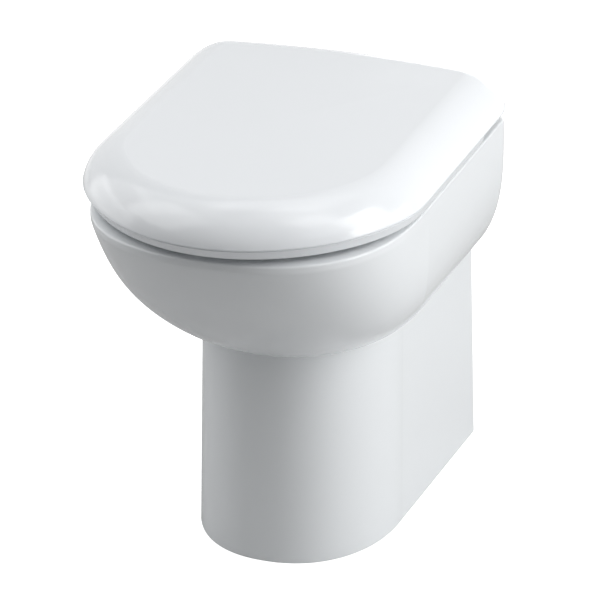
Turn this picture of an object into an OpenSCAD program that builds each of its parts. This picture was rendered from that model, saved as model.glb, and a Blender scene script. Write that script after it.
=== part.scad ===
// Back to wall toilet with a top-fixed, soft-close, lift-off seat and lid. Millimetres.
// X is across the pan, +Y runs back to the wall, +Z is up. The floor is z = 0.
// Depths are measured forwards from the wall face and turned into Y by at().

/* [Overall] */
// Furthest reach of the lid from the wall
projection = 495; // [480:1:515]
// Height of the pan's rim above the floor
rim_height = 400; // [385:1:430]

/* [Pan] */
// Widest part of the pan
pan_width = 330; // [320:1:340]
// Reach of the pan's front from the wall
pan_front = 480; // [474:1:486]
// Distance from the wall to where the pan is widest
pan_widest = 293; // [280:1:305]
// How much each side draws in from the widest part to the wall
pan_draw_in = 19; // [12:1:24]
// Radius that rolls the rim's outer edge over
rim_roll = 9; // [6:0.5:10]
// Thickness of the china walls
china = 11; // [10.5:0.5:12]
// Thickness of the deck and the rim's top
deck_thickness = 12; // [11:0.5:15]
// Depth of the flat deck behind the bowl
deck_depth = 134; // [128:1:136]

/* [Pedestal] */
// Width of the foot at its widest curve
foot_width = 211; // [204:1:222]
// Reach of the foot from the wall
foot_front = 343; // [336:1:356]
// Depth of the foot's curved front
foot_curve = 128; // [115:1:140]
// How much wider each side stands at the wall
foot_spread = 6; // [0:1:9]
// Height of the shelf where the bowl springs from the pedestal
shelf_height = 230; // [222:1:236]
// How much narrower each side is at the shelf than at the floor
foot_flare = 2.5; // [0:0.5:5]
// How far the front leans back between floor and shelf
foot_lean = 17; // [8:1:20]

/* [Bowl] */
// Width of the bowl's opening
bowl_width = 260; // [246:1:266]
// Reach of the bowl's opening from the wall
bowl_front = 445; // [438:1:450]
// Distance from the wall to the back of the bowl's opening
bowl_back = 147; // [145:1:152]
// Inside radius of the trap
trap_r = 33; // [31:0.5:34]
// Wall of the trap
trap_wall = 8; // [6:0.5:8.5]
// Centreline radius of the trap's bends
bend_r = 45; // [43:0.5:46]
// Room between the throat and the inside of the pedestal's front
throat_room = 19; // [16:1:21]
// Height of the throat's mouth above the floor
throat_height = 115; // [112:1:118]

/* [Outlet and inlet] */
// Outside radius of the soil outlet
outlet_r = 51; // [50:0.5:55]
// Height of the soil outlet's centre above the floor
outlet_height = 185; // [180:1:190]
// Gap between the soil outlet's mouth and the wall face
outlet_setback = 60; // [50:1:65]
// Inside radius of the flush inlet
inlet_r = 27.5; // [25:0.5:28]
// Wall of the flush inlet
inlet_wall = 9.5; // [8:0.5:10]
// Height of the flush inlet's centre above the floor
inlet_height = 335; // [330:1:338]
// Gap between the flush inlet's mouth and the wall face
inlet_setback = 45; // [35:1:60]
// Radius of the port from the flush inlet into the bowl
port_r = 22; // [18:0.5:24]

/* [Floor fixing] */
// Distance between the two floor-fixing holes
floor_hole_spacing = 156; // [148:1:160]
// Radius of the floor-fixing holes
floor_hole_r = 5; // [4:0.5:6]
// Distance from the wall to the floor-fixing holes
floor_hole_depth = 80; // [60:1:100]

/* [Seat fixing] */
// Distance between the two seat-fixing holes
seat_hole_spacing = 155; // [150:1:160]
// Radius of the seat-fixing holes in the deck
seat_hole_r = 7.5; // [7:0.5:8]
// Distance from the wall to the seat-fixing holes
seat_hole_depth = 80; // [79:1:82]
// Radius of the threaded lower end of each stud
bolt_r = 4; // [3.5:0.5:4]
// Radius of the plain upper end of each stud
stud_r = 5; // [4.5:0.5:5.5]
// Height of the stud above its base plate
stud_h = 15.5; // [13:0.5:15.5]
// Radius of each base plate
plate_r = 16; // [14:0.5:16]
// Thickness of each base plate
plate_t = 4; // [3:0.5:4]

/* [Lid] */
// Width of the lid
lid_width = 351; // [346:1:356]
// Distance from the wall to where the lid is widest
lid_widest = 332; // [322:1:338]
// Distance from the wall to the lid's back corners
lid_back = 42.5; // [40:0.5:45]
// Bow of the lid's back edge towards the wall
lid_bow = 9; // [4:0.5:10]
// Corner radius at the lid's back
lid_corner = 40; // [36:1:46]
// How much each side of the lid draws in towards the back
lid_draw_in = 3; // [0:0.5:6]
// Height of the lid from lower edge to top
lid_height = 38; // [36:0.5:41]
// Width of the lid's rounded shoulder
lid_shoulder = 43.5; // [40:0.5:46]
// Wall of the lid
lid_wall = 4; // [3.5:0.5:4.5]
// Rise of the lid's top from the shoulder to the middle
lid_crown = 1.5; // [0:0.5:3]

/* [Seat] */
// Gap under the seat, filled by its buffers
seat_gap = 10; // [9:0.5:10.5]
// Visible edge of the seat under the lid
seat_edge = 7.7; // [7:0.1:8.5]
// Rise of the seat's top above its visible edge
seat_rise = 12; // [9:0.5:13]
// How far the seat's edge stands in from the lid's
seat_inset = 2; // [1:0.5:3]
// Distance from the wall to the seat's back edge
seat_back = 125; // [123:1:130]
// Width of the seat's opening
seat_hole_width = 216; // [204:1:222]
// Distance from the wall to the front of the seat's opening
seat_hole_front = 424; // [416:1:428]
// Distance from the wall to the back of the seat's opening
seat_hole_back = 172; // [170:1:178]

/* [Hinges] */
// Distance from the wall to the hinge line
hinge_depth = 58; // [57.5:0.5:58.5]
// Height of the hinge line above the rim
hinge_height = 28; // [27.5:0.5:28.5]
// Outside radius of the hinge barrels
barrel_r = 8; // [7.5:0.5:8]
// Radius of the hinge shafts
shaft_r = 4; // [3.5:0.5:4]
// Radius of the damper bodies
damper_r = 5.45; // [5:0.05:5.45]
// Width of each hinge block
block_w = 35; // [33:1:36]
// Width of each wing
wing_w = 18; // [14:1:18]
// Gap between a hinge block and the wings beside it
wing_gap = 2; // [1.5:0.5:3]
// Radius of the release buttons
button_r = 4.4; // [4:0.1:4.5]
// Travel of the release buttons
button_travel = 2.5; // [2:0.5:2.5]

/* [Buffers and screws] */
// Radius of the seat and lid buffers
buffer_r = 7.5; // [6:0.5:8]
// Radius of the wing screws
screw_r = 1.8; // [1.5:0.1:2.2]

/* [Fits] */
// Radial clearance of shafts and studs in their bores
running = 0.05; // [0.02:0.01:0.08]
// Gap between faces that pass or rest on one another
face_gap = 0.3; // [0.2:0.1:0.4]
// Radial clearance of fixings in their holes
loose = 0.1; // [0.1:0.05:0.3]

/* [Hidden] */
$fn = 64;
wall_y = projection / 2;
deck_under = rim_height - deck_thickness;
// Superellipse exponents of the outlines
pan_side_e = 2.34;
pan_front_e = 2.84;
foot_e = 2.18;
lid_side_e = 1.95;
lid_front_e = 1.81;
shoulder_e = 1.674;
egg_e = 2.3;
throat_e = 2;
back_e = 5;
// Exponents of the bowl's outer curve at its sides and at its front
side_p = 3.06;
side_q = 1.29;
front_p = 1.07;
front_q = 1.49;
// Steps along the pan's half outline: curved front, side to the deck, side along the deck, back
nf = 20;
ns = 5;
nb = 3;
nk = 5;
bowl_steps = 12;
roll_steps = 4;
// Steps along the half outlines of lid and seat: front, side, corner, back
lf = 20;
ls = 4;
lc = 6;
lb = 10;
shoulder_steps = 10;
// Trap
trap_outer = trap_r + trap_wall;
throat_depth = foot_front - foot_lean - china - trap_outer - throat_room;
bend_z = throat_height - 5;
rise_depth = throat_depth - 2 * bend_r;
rise_h = outlet_height - bend_r - bend_z;
bend_end = rise_depth - bend_r;
outlet_taper = 20;
outlet_wall = 8;
inlet_outer = inlet_r + inlet_wall;
port_reach = 53;
// Bowl
bowl_mid = (bowl_front + bowl_back) / 2;
bowl_wall = 9;
basin_gap = 2;
bowl_drop = rim_height - throat_height;
back_flat_end = (rim_height - inlet_height + inlet_outer + 3) / bowl_drop;
front_fade = 0.57;
side_fade = 0.65;
back_fade = 0.75;
// Floor lugs
lug_w = 34;
lug_d = 40;
lug_h = 28;
lug_key = 4;
// Lid
lid_z = rim_height + seat_gap + seat_edge + face_gap;
lid_top = lid_z + lid_height;
lid_edge_round = 2;
lid_ceiling = lid_top - lid_wall - 1;
// Seat
seat_z = rim_height + seat_gap;
seat_corner = 12;
seat_crest = seat_z + seat_edge + seat_rise;
// Hinges
hinge_z = rim_height + hinge_height;
hole_x = seat_hole_spacing / 2;
block_in = hole_x - block_w / 2;
block_out = hole_x + block_w / 2;
block_z = rim_height + plate_t + face_gap;
block_front = seat_hole_depth + 13;
block_rear = seat_hole_depth - 10;
block_shoulder = hinge_z - 7;
stud_top = rim_height + plate_t + stud_h;
bore_top = stud_top + 1;
barrel_bore = damper_r + running;
wing_bore = shaft_r + running;
shaft_reach = wing_gap + wing_w - 1;
damper_len = 24;
pin_head = 7;
end_gap = 1;
wing_plate_t = 4;
lid_plate_t = 3.5;
seat_plate_end = seat_back + 35;
lid_plate_end = hinge_depth + 59;
screw_edge = 8;
screw_pitch = 14;
screw_head = 1.8;
screw_bite = 4;
// Buttons
button_z = block_z + 6.7;
button_bore = button_r + loose;
button_len = 9.5;
button_skin = 3;
button_hollow = 3;
spring_r = 2.25;
spring_wire = 0.45;
spring_turns = 4;
spring_len = block_w / 2 - stud_r - 1.5 - button_skin - face_gap;
// Fixings under the deck
bush_r = seat_hole_r - loose;
bush_len = deck_thickness + 12;
washer_r = seat_hole_r + 3;
washer_t = 2;
nut_t = 7;
nut_r = 8;
bolt_tail = 6;
// Buffers
front_buffer_x = bowl_width * 0.27;
front_buffer_d = (pan_front + bowl_front) / 2 - 2 * buffer_r;
side_buffer_x = (pan_width + bowl_width) / 4 - buffer_r * 0.5;
side_buffer_d = bowl_back + 20;
lid_buffer_x = seat_hole_width * 0.23;
lid_buffer_d = min(seat_hole_front + buffer_r, projection - lid_shoulder - buffer_r);
lid_side_buffer_x = lid_width / 2 - lid_shoulder - buffer_r;
lid_side_buffer_d = (seat_hole_front + seat_hole_back) / 2 - 3 * buffer_r;
china_white = [0.93, 0.94, 0.94];
seat_white = [0.95, 0.96, 0.96];

// A point given across, forwards from the wall and up
function at(p, z) = [p[0], wall_y - p[1], z];
function mix(a, b, s) = a + (b - a) * s;
function clamp01(v) = min(1, max(0, v));
function curve(v, e) = pow(max(v, 0), 2 / e);
function fade(u, limit, e) = u >= limit ? 0 : 1 - pow(u / limit, e);
// A half outline from front middle to back, completed to a loop
function whole(half) = concat(half, [for (i = [len(half) - 1 : -1 : 0])
    if (abs(half[i][0]) > 0.001) [-half[i][0], half[i][1], half[i][2]]]);

// ---- Outlines of the pan ----
function rim_depth(k) = k <= nf + ns ? mix(pan_widest, deck_depth, (k - nf) / ns)
    : deck_depth * (1 - (k - nf - ns) / nb);
function rim_pt(k, inset) = k <= nf
    ? [(pan_width / 2 - inset) * curve(sin(90 * k / nf), pan_side_e),
       pan_widest + (pan_front - inset - pan_widest) * curve(cos(90 * k / nf), pan_front_e)]
    : [pan_width / 2 - inset - pan_draw_in * pow(1 - rim_depth(k) / pan_widest, 2), rim_depth(k)];
function foot_half(z) = foot_width / 2 - foot_flare * z / shelf_height;
function foot_reach(z) = foot_front - foot_lean * z / shelf_height;
function foot_mid(z) = foot_reach(z) - foot_curve;
function foot_pt(k, z, inset) = k <= nf
    ? [(foot_half(z) - inset) * curve(sin(90 * k / nf), foot_e),
       foot_mid(z) - inset + foot_curve * curve(cos(90 * k / nf), foot_e)]
    : [foot_half(z) - inset + foot_spread * (1 - rim_depth(k) / pan_widest),
       (foot_mid(z) - inset) * rim_depth(k) / pan_widest];
// How far the bowl has swelled from foot outline to rim outline at height fraction t
function swell_side(t) = pow(1 - pow(1 - t, side_p), 1 / side_q);
function swell_front(t) = pow(1 - pow(1 - t, front_p), 1 / front_q);
function side_share(k) = clamp01((pan_front - rim_pt(k, 0)[1]) / (pan_front - pan_widest));
function swell(k, t) = mix(swell_front(t), swell_side(t), side_share(k));
function bowl_pt(k, t, inset) =
    mix(foot_pt(k, shelf_height, inset), rim_pt(k, inset), swell(k, t));

// ---- Lofted solids ----
// Loops run anticlockwise seen from above, and rings run up the outside.
function quad(a, b, c, d) = [[a, d, c], [a, c, b]];
function flatten(l) = [for (a = l) for (b = a) b];
function skin(n, m, closed) = flatten([for (j = [0 : closed ? m - 1 : m - 2]) for (k = [0 : n - 1])
    quad(j * n + k, j * n + (k + 1) % n, ((j + 1) % m) * n + (k + 1) % n, ((j + 1) % m) * n + k)]);
module loft_ring(rings) {
    n = len(rings[0]);
    polyhedron(points = flatten(rings), faces = skin(n, len(rings), true));
}
module loft_capped(rings) {
    n = len(rings[0]);
    m = len(rings);
    polyhedron(points = flatten(rings), faces = concat(skin(n, m, false),
        [[for (k = [0 : n - 1]) k]], [[for (k = [n - 1 : -1 : 0]) (m - 1) * n + k]]));
}
// Rings made of an outer run and, backwards, the inner run beside it
module loft_band(rings) {
    n = len(rings[0]);
    m = len(rings);
    h = n / 2;
    top = (m - 1) * n;
    polyhedron(points = flatten(rings), faces = concat(skin(n, m, false),
        flatten([for (k = [0 : h - 2]) quad(n - 1 - k, n - 2 - k, k + 1, k)]),
        flatten([for (k = [0 : h - 2]) quad(top + k, top + k + 1, top + n - 2 - k, top + n - 1 - k)])));
}

// ---- Pan ----
function shell_half(t, inset) = [for (k = [0 : nf + ns + nb]) bowl_pt(k, t, inset)];
function floor_half(z, inset) = [for (k = [0 : nf + ns + nb]) foot_pt(k, z, inset)];
function run_through(half) = concat(
    [for (i = [len(half) - 1 : -1 : 1]) [-half[i][0], half[i][1]]], half);
function band(outer, zo, inner, zi) = concat(
    [for (p = run_through(outer)) at(p, zo)],
    [for (i = [2 * len(inner) - 2 : -1 : 0]) at(run_through(inner)[i], zi)]);
module pan_shell() {
    swell_top = rim_height - rim_roll;
    inner_shelf = shelf_height + china;
    steps = [for (j = [0 : bowl_steps]) pow(j / bowl_steps, 1.5)];
    rings = concat(
        [band(floor_half(0, 0), 0, floor_half(0, china), 0)],
        [for (t = steps) band(shell_half(t, 0), mix(shelf_height, swell_top, t),
            shell_half(t, china), mix(inner_shelf, deck_under, t))],
        [for (j = [1 : roll_steps]) band(
            shell_half(1, rim_roll * (1 - cos(90 * j / roll_steps))),
            swell_top + rim_roll * sin(90 * j / roll_steps),
            shell_half(1, china), mix(deck_under, rim_height, j / roll_steps))]);
    color(china_white) loft_band(rings);
}

// Egg-shaped loop: half width, front, middle and back depths, front and back exponents
n_half = nf + ns + nk;
function egg_pt(k, w, f, c, b, ef, eb) = let (a = 180 * k / (n_half + 0.5)) a <= 90
    ? [w * curve(sin(a), ef), c + (f - c) * curve(cos(a), ef)]
    : [w * curve(sin(a), eb), c - (c - b) * curve(-cos(a), eb)];
function egg(w, f, c, b, ef, eb, z, wall) = [for (p = whole([for (k = [0 : n_half])
    inside(egg_pt(k, w, f, c, b, ef, eb), z, wall)])) at(p, z)];
// The room for the basin inside the pan's shell at height z, and a point kept within it
function room_t(z) = clamp01((z - shelf_height - china) / (deck_under - shelf_height - china));
function room_half(z) = mix(foot_half(shelf_height), pan_width / 2, swell_side(room_t(z))) - china - basin_gap;
function room_front(z) = mix(foot_reach(shelf_height), pan_front, swell_front(room_t(z))) - china - basin_gap;
function room_mid(z) = mix(foot_mid(shelf_height), pan_widest, swell_side(room_t(z)));
function inside(p, z, wall) =
    let (m = room_mid(z), f = pow(abs(p[0]) / (room_half(z) - wall), foot_e)
        + pow(max(p[1] - m, 0) / (room_front(z) - wall - m), foot_e), s = f > 1 ? pow(f, -1 / foot_e) : 1)
    [p[0] * s, p[1] > m ? m + (p[1] - m) * s : p[1]];
function bowl_in(u, z) = egg(
    trap_r + (bowl_width / 2 - trap_r) * fade(u, side_fade, 2.4),
    throat_depth + trap_r + (bowl_front - throat_depth - trap_r) * fade(u, front_fade, 1.6),
    throat_depth + (bowl_mid - throat_depth) * fade(u, front_fade, 1.6),
    throat_depth - trap_r - (throat_depth - trap_r - bowl_back) * fade(u, back_fade, 2.2),
    mix(throat_e, egg_e, fade(u, side_fade, 2)), mix(throat_e, egg_e, fade(u, side_fade, 2)), z, bowl_wall);
function bowl_out(u, z) = let (s = clamp01((u - back_flat_end) / (back_fade - back_flat_end))) egg(
    trap_outer + (bowl_width / 2 + bowl_wall - trap_outer) * fade(u, side_fade, 2.4),
    throat_depth + trap_outer + (bowl_front + bowl_wall - throat_depth - trap_outer)
        * fade(u, front_fade, 1.6),
    throat_depth + (bowl_mid - throat_depth) * fade(u, front_fade, 1.6),
    mix(deck_depth, throat_depth - trap_outer, pow(s, 1.5)),
    mix(throat_e, egg_e, fade(u, side_fade, 2)), mix(back_e, throat_e, pow(s, 0.7)), z, 0);
module pan_basin() {
    under_u = deck_thickness / bowl_drop;
    levels = [1, 0.9, 0.8, 0.72, 0.65, 0.58, 0.5, 0.42, 0.34, 0.25, 0.16, 0.09, under_u];
    rings = concat(
        [for (u = levels) bowl_out(u, rim_height - u * bowl_drop)],
        [for (i = [len(levels) - 1 : -1 : 0]) bowl_in(levels[i],
            rim_height - levels[i] * bowl_drop)]);
    color(china_white) difference() {
        loft_ring(rings);
        translate([0, wall_y - deck_depth - port_reach, inlet_height]) rotate([-90, 0, 0])
            cylinder(r = port_r, h = port_reach + 1);
    }
}
module pan_deck() {
    rim = run_through([for (k = [0 : nf + ns + nb]) rim_pt(k, china)]);
    mouth = bowl_in(0, rim_height);
    color(china_white) translate([0, 0, deck_under]) linear_extrude(height = deck_thickness)
        difference() {
            polygon([for (p = rim) [p[0], wall_y - p[1]]]);
            polygon([for (p = mouth) [p[0], p[1]]]);
            for (s = [-1, 1]) translate([s * hole_x, wall_y - seat_hole_depth]) circle(r = seat_hole_r);
        }
}
module trap_ring() {
    difference() {
        circle(r = trap_outer);
        circle(r = trap_r);
    }
}
module trap_bend() {
    color(china_white) {
        translate([0, wall_y - throat_depth, bend_z]) linear_extrude(height = throat_height - bend_z)
            trap_ring();
        translate([0, wall_y - throat_depth + bend_r, bend_z]) rotate([90, 180, 90])
            rotate_extrude(angle = 180) translate([bend_r, 0]) trap_ring();
    }
}
module trap_riser() {
    color(china_white) {
        translate([0, wall_y - rise_depth, bend_z]) linear_extrude(height = rise_h) trap_ring();
        translate([0, wall_y - rise_depth + bend_r, bend_z + rise_h]) rotate([90, -90, 90])
            rotate_extrude(angle = 90) translate([bend_r, 0]) trap_ring();
    }
}
module outlet_spigot() {
    reach = bend_end - outlet_setback;
    bore = outlet_r - outlet_wall;
    color(china_white) translate([0, wall_y - bend_end, outlet_height]) rotate([-90, 0, 0])
        rotate_extrude() polygon([[trap_r, 0], [trap_outer, 0], [outlet_r, outlet_taper / 2],
            [outlet_r, reach - 1.5], [outlet_r - 1.5, reach], [bore, reach], [bore, outlet_taper]]);
}
module flush_inlet() {
    color(china_white) translate([0, wall_y - deck_depth, inlet_height]) rotate([-90, 0, 0])
        difference() {
            cylinder(r = inlet_outer, h = deck_depth - inlet_setback);
            translate([0, 0, -1]) cylinder(r = inlet_r, h = deck_depth - inlet_setback + 2);
        }
}
module floor_lugs() {
    outer_face = foot_width / 2 - china + lug_key;
    color(china_white) for (s = [-1, 1]) difference() {
        translate([s > 0 ? outer_face - lug_w : -outer_face,
            wall_y - floor_hole_depth - lug_d / 2, 0]) cube([lug_w, lug_d, lug_h]);
        translate([s * floor_hole_spacing / 2, wall_y - floor_hole_depth, -1])
            cylinder(r = floor_hole_r, h = lug_h + 2);
    }
}

// ---- Seat fixing ----
module over_hole(side) {
    translate([side * hole_x, wall_y - seat_hole_depth, 0]) children();
}
module base_plate(side) {
    color("silver") over_hole(side) translate([0, 0, rim_height]) difference() {
        cylinder(r = plate_r, h = plate_t);
        translate([0, 0, -1]) cylinder(r = bolt_r + running, h = plate_t + 2);
    }
}
module stud(side) {
    tail = rim_height - bush_len - washer_t - nut_t - bolt_tail;
    foot = rim_height + plate_t;
    color("silver") over_hole(side) rotate_extrude() polygon([[0, tail], [bolt_r - 0.6, tail],
        [bolt_r, tail + 0.6], [bolt_r, foot], [stud_r, foot], [stud_r, foot + 4],
        [stud_r - 0.8, foot + 5], [stud_r - 0.8, foot + 8], [stud_r, foot + 9],
        [stud_r, stud_top - 1], [stud_r - 1, stud_top], [0, stud_top]]);
}
module tube_at(z, r_out, r_in, h, facets) {
    for (s = [-1, 1]) over_hole(s) translate([0, 0, z]) linear_extrude(height = h) difference() {
        circle(r = r_out, $fn = facets);
        circle(r = r_in);
    }
}
module fixing_bushes() {
    color("dimgray") tube_at(rim_height - bush_len, bush_r, bolt_r + loose, bush_len, $fn);
}
module fixing_washers() {
    color("silver") tube_at(rim_height - bush_len - washer_t, washer_r, bolt_r + loose, washer_t, $fn);
}
module fixing_nuts() {
    color("silver") tube_at(rim_height - bush_len - washer_t - nut_t, nut_r, bolt_r + running, nut_t, 6);
}

// ---- Hinges: profiles are drawn as depth and height, then extruded across ----
module across(x0, w) {
    translate([x0 + w, wall_y, 0]) rotate([90, 0, -90]) linear_extrude(height = w) children();
}
module barrel_at(x0, r, w) {
    translate([x0, wall_y - hinge_depth, hinge_z]) rotate([0, 90, 0]) cylinder(r = r, h = w);
}
module block_profile() {
    translate([hinge_depth, hinge_z]) circle(r = barrel_r);
    polygon([[hinge_depth + 4, hinge_z - barrel_r + 2], [block_rear, hinge_z - 13],
        [block_rear, block_z], [block_front, block_z], [block_front, block_shoulder],
        [hinge_depth + 9, hinge_z + barrel_r - 3], [hinge_depth + 1, hinge_z + barrel_r - 1.1]]);
}
module hinge_block(side) {
    color(seat_white) mirror([side < 0 ? 1 : 0, 0, 0]) difference() {
        across(block_in, block_w) block_profile();
        barrel_at(block_in - 1, barrel_bore, block_w + 2);
        over_hole(1) translate([0, 0, block_z - 1]) cylinder(r = stud_r + running, h = bore_top - block_z + 1);
        translate([block_in - 1, wall_y - seat_hole_depth, button_z]) rotate([0, 90, 0])
            cylinder(r = button_bore, h = block_w / 2 - stud_r + 1);
    }
}
// A shaft with a wider body, pointing away from the block's middle
module shafted(x0, body_r, body_len, shaft_len) {
    translate([x0, wall_y - hinge_depth, hinge_z]) rotate([0, 90, 0]) rotate_extrude()
        polygon([[0, 0], [body_r, 0], [body_r, body_len], [shaft_r, body_len],
            [shaft_r, body_len + shaft_len - 0.5], [shaft_r - 0.5, body_len + shaft_len],
            [0, body_len + shaft_len]]);
}
module outboard(side, len) {
    mirror([side < 0 ? 1 : 0, 0, 0]) shafted(block_out - end_gap - len, damper_r, len, end_gap + shaft_reach);
}
module inboard(side, len) {
    mirror([side < 0 ? 0 : 1, 0, 0]) shafted(-block_in - end_gap - len, damper_r, len, end_gap + shaft_reach);
}
module damper_lid() {
    color("dimgray") inboard(-1, damper_len);
}
module damper_seat() {
    color("dimgray") outboard(1, damper_len);
}
module pin_lid() {
    color("silver") inboard(1, pin_head);
}
module pin_seat() {
    color("silver") outboard(-1, pin_head);
}
module release_button(side) {
    color("lightgray") mirror([side < 0 ? 1 : 0, 0, 0])
        translate([block_in - button_travel, wall_y - seat_hole_depth, button_z]) rotate([0, 90, 0])
            rotate_extrude() polygon([[0, 0], [button_r - 0.5, 0], [button_r, 0.5],
                [button_r, button_len], [button_hollow, button_len], [button_hollow, button_skin],
                [0, button_skin]]);
}
function coil_pt(turn, phi) = let (a = 360 * turn, r = spring_r + spring_wire * cos(phi))
    [r * cos(a), r * sin(a), spring_len * turn / spring_turns + spring_wire * sin(phi)];
module spring(side) {
    rings = [for (i = [0 : 10 * spring_turns]) [for (p = [0 : 60 : 300]) coil_pt(i / 10, -p)]];
    x0 = block_in + button_skin + face_gap + spring_wire;
    color("silver") mirror([side < 0 ? 1 : 0, 0, 0])
        translate([x0, wall_y - seat_hole_depth, button_z]) rotate([0, 90, 0]) loft_capped(rings);
}

// ---- Lid and seat outlines ----
function dee_pt(k, w, f, c, b, ef, es, r, draw, bow, inset) =
    let (ri = max(r - 0.6 * inset, 5), wi = w - inset, bi = b + inset, wb = wi - draw)
    k <= lf ? [wi * curve(sin(90 * k / lf), es), c + (f - inset - c) * curve(cos(90 * k / lf), ef)]
    : k <= lf + ls ? let (t = (k - lf) / ls) [wi - draw * t * t, mix(c, bi + ri, t)]
    : k <= lf + ls + lc ? let (a = 90 * (k - lf - ls) / lc)
        [wb - ri + ri * cos(a), bi + ri - ri * sin(a)]
    : let (s = 1 - (k - lf - ls - lc) / lb) [(wb - ri) * s, bi - bow * (1 - s * s)];
l_half = lf + ls + lc + lb;
function lid_pt(k, inset) = dee_pt(k, lid_width / 2, projection, lid_widest, lid_back,
    lid_front_e, lid_side_e, lid_corner, lid_draw_in, lid_bow, inset);
function seat_pt(k, inset) = dee_pt(k, lid_width / 2, projection, lid_widest, seat_back - seat_inset,
    lid_front_e, lid_side_e, seat_corner, lid_draw_in / 2, 0, inset);

// ---- Lid ----
function shoulder_in(a) = 1 - curve(cos(a), shoulder_e);
function shoulder_up(a) = curve(sin(a), shoulder_e);
function lid_outer(k, a, extra) = concat(
    lid_pt(k, lid_shoulder * shoulder_in(a) + extra), [lid_z + lid_height * shoulder_up(a)]);
function lid_inner(k, a) = concat(
    lid_pt(k, lid_edge_round + lid_wall + (lid_shoulder - lid_wall - lid_edge_round) * (1 - cos(a))),
    [lid_z + (lid_ceiling - lid_z) * sin(a)]);
function to_middle(p, s, up) = [p[0] * s, lid_widest * 0.8 + (p[1] - lid_widest * 0.8) * s, p[2] + up];
function placed(half) = [for (p = whole(half)) at(p, p[2])];
module lid_shell() {
    rings = concat(
        [for (s = [0.12, 0.6]) placed([for (k = [0 : l_half]) to_middle(lid_inner(k, 90), s, 0)])],
        [for (j = [shoulder_steps : -1 : 0]) placed([for (k = [0 : l_half])
            lid_inner(k, 90 * j / shoulder_steps)])],
        [placed([for (k = [0 : l_half]) lid_outer(k, 0, lid_edge_round)])],
        [for (j = [0 : shoulder_steps]) placed([for (k = [0 : l_half])
            lid_outer(k, mix(2, 90, j / shoulder_steps), 0)])],
        [for (s = [0.85, 0.6, 0.3, 0.1]) placed([for (k = [0 : l_half])
            to_middle(lid_outer(k, 90, 0), s, lid_crown * (1 - s * s))])]);
    color(seat_white) loft_capped(rings);
}
module lid_wing(side) {
    color(seat_white) mirror([side < 0 ? 1 : 0, 0, 0]) difference() {
        across(block_in - wing_gap - wing_w, wing_w) union() {
            translate([hinge_depth, hinge_z]) circle(r = barrel_r);
            polygon([[hinge_depth + barrel_r - 1.5, hinge_z - 2],
                [hinge_depth + 32, lid_ceiling - lid_plate_t], [lid_plate_end, lid_ceiling - lid_plate_t],
                [lid_plate_end, lid_ceiling], [hinge_depth + 24, lid_ceiling],
                [hinge_depth + 13, lid_ceiling - 6], [hinge_depth + 1, hinge_z + barrel_r - 1.1]]);
        }
        barrel_at(block_in - wing_gap - wing_w - 1, wing_bore, wing_w + 2);
        lid_screw_spots() translate([0, 0, lid_ceiling - lid_plate_t - 1])
            cylinder(r = screw_r + running, h = lid_plate_t + 2);
    }
}
module lid_screw_spots() {
    for (d = [lid_plate_end - screw_edge, lid_plate_end - screw_edge - screw_pitch])
        translate([block_in - wing_gap - wing_w / 2, wall_y - d, 0]) children();
}
module screw(z_head, up) {
    translate([0, 0, z_head]) {
        cylinder(r1 = screw_r + 1.2, r2 = screw_r + 2, h = screw_head);
        translate([0, 0, screw_head]) cylinder(r = screw_r, h = up);
    }
}
module lid_screws() {
    color("silver") for (m = [0, 1]) mirror([m, 0, 0]) lid_screw_spots()
        screw(lid_ceiling - lid_plate_t - screw_head, lid_plate_t + screw_bite);
}
module lid_buffers() {
    color("gainsboro") for (s = [-1, 1]) {
        translate([s * lid_buffer_x, wall_y - lid_buffer_d, seat_crest]) cylinder(r = buffer_r,
            h = lid_ceiling - seat_crest);
        translate([s * lid_side_buffer_x, wall_y - lid_side_buffer_d, seat_crest]) cylinder(r = buffer_r,
            h = lid_ceiling - seat_crest);
    }
}

// ---- Seat ----
function seat_hole_pt(k) = let (a = 180 * k / l_half, c = (seat_hole_front + seat_hole_back) / 2,
    h = (seat_hole_front - seat_hole_back) / 2, w = seat_hole_width / 2)
    a <= 90 ? [w * curve(sin(a), egg_e), c + h * curve(cos(a), egg_e)]
    : [w * curve(sin(a), egg_e), c - h * curve(-cos(a), egg_e)];
function seat_loop(inset, s, z) = placed([for (k = [0 : l_half])
    concat(mix(seat_pt(k, seat_inset + inset), seat_hole_pt(k), s), [z])]);
module seat_ring() {
    edge = seat_z + seat_edge;
    rings = [seat_loop(0.6, 0, seat_z), seat_loop(0, 0, seat_z + 1), seat_loop(0, 0, edge - 1),
        seat_loop(0.8, 0, edge), seat_loop(5.5, 0, edge), seat_loop(7, 0.02, edge + seat_rise * 0.35),
        seat_loop(7, 0.1, edge + seat_rise * 0.7), seat_loop(7, 0.25, edge + seat_rise * 0.93),
        seat_loop(7, 0.45, seat_crest - face_gap), seat_loop(7, 0.65, seat_crest - face_gap * 2),
        seat_loop(7, 0.8, edge + seat_rise * 0.8), seat_loop(7, 0.92, edge + seat_rise * 0.5),
        seat_loop(7, 1, edge), seat_loop(7, 1, seat_z + 1.5), seat_loop(7, 0.97, seat_z)];
    color(seat_white) loft_ring(rings);
}
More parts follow.
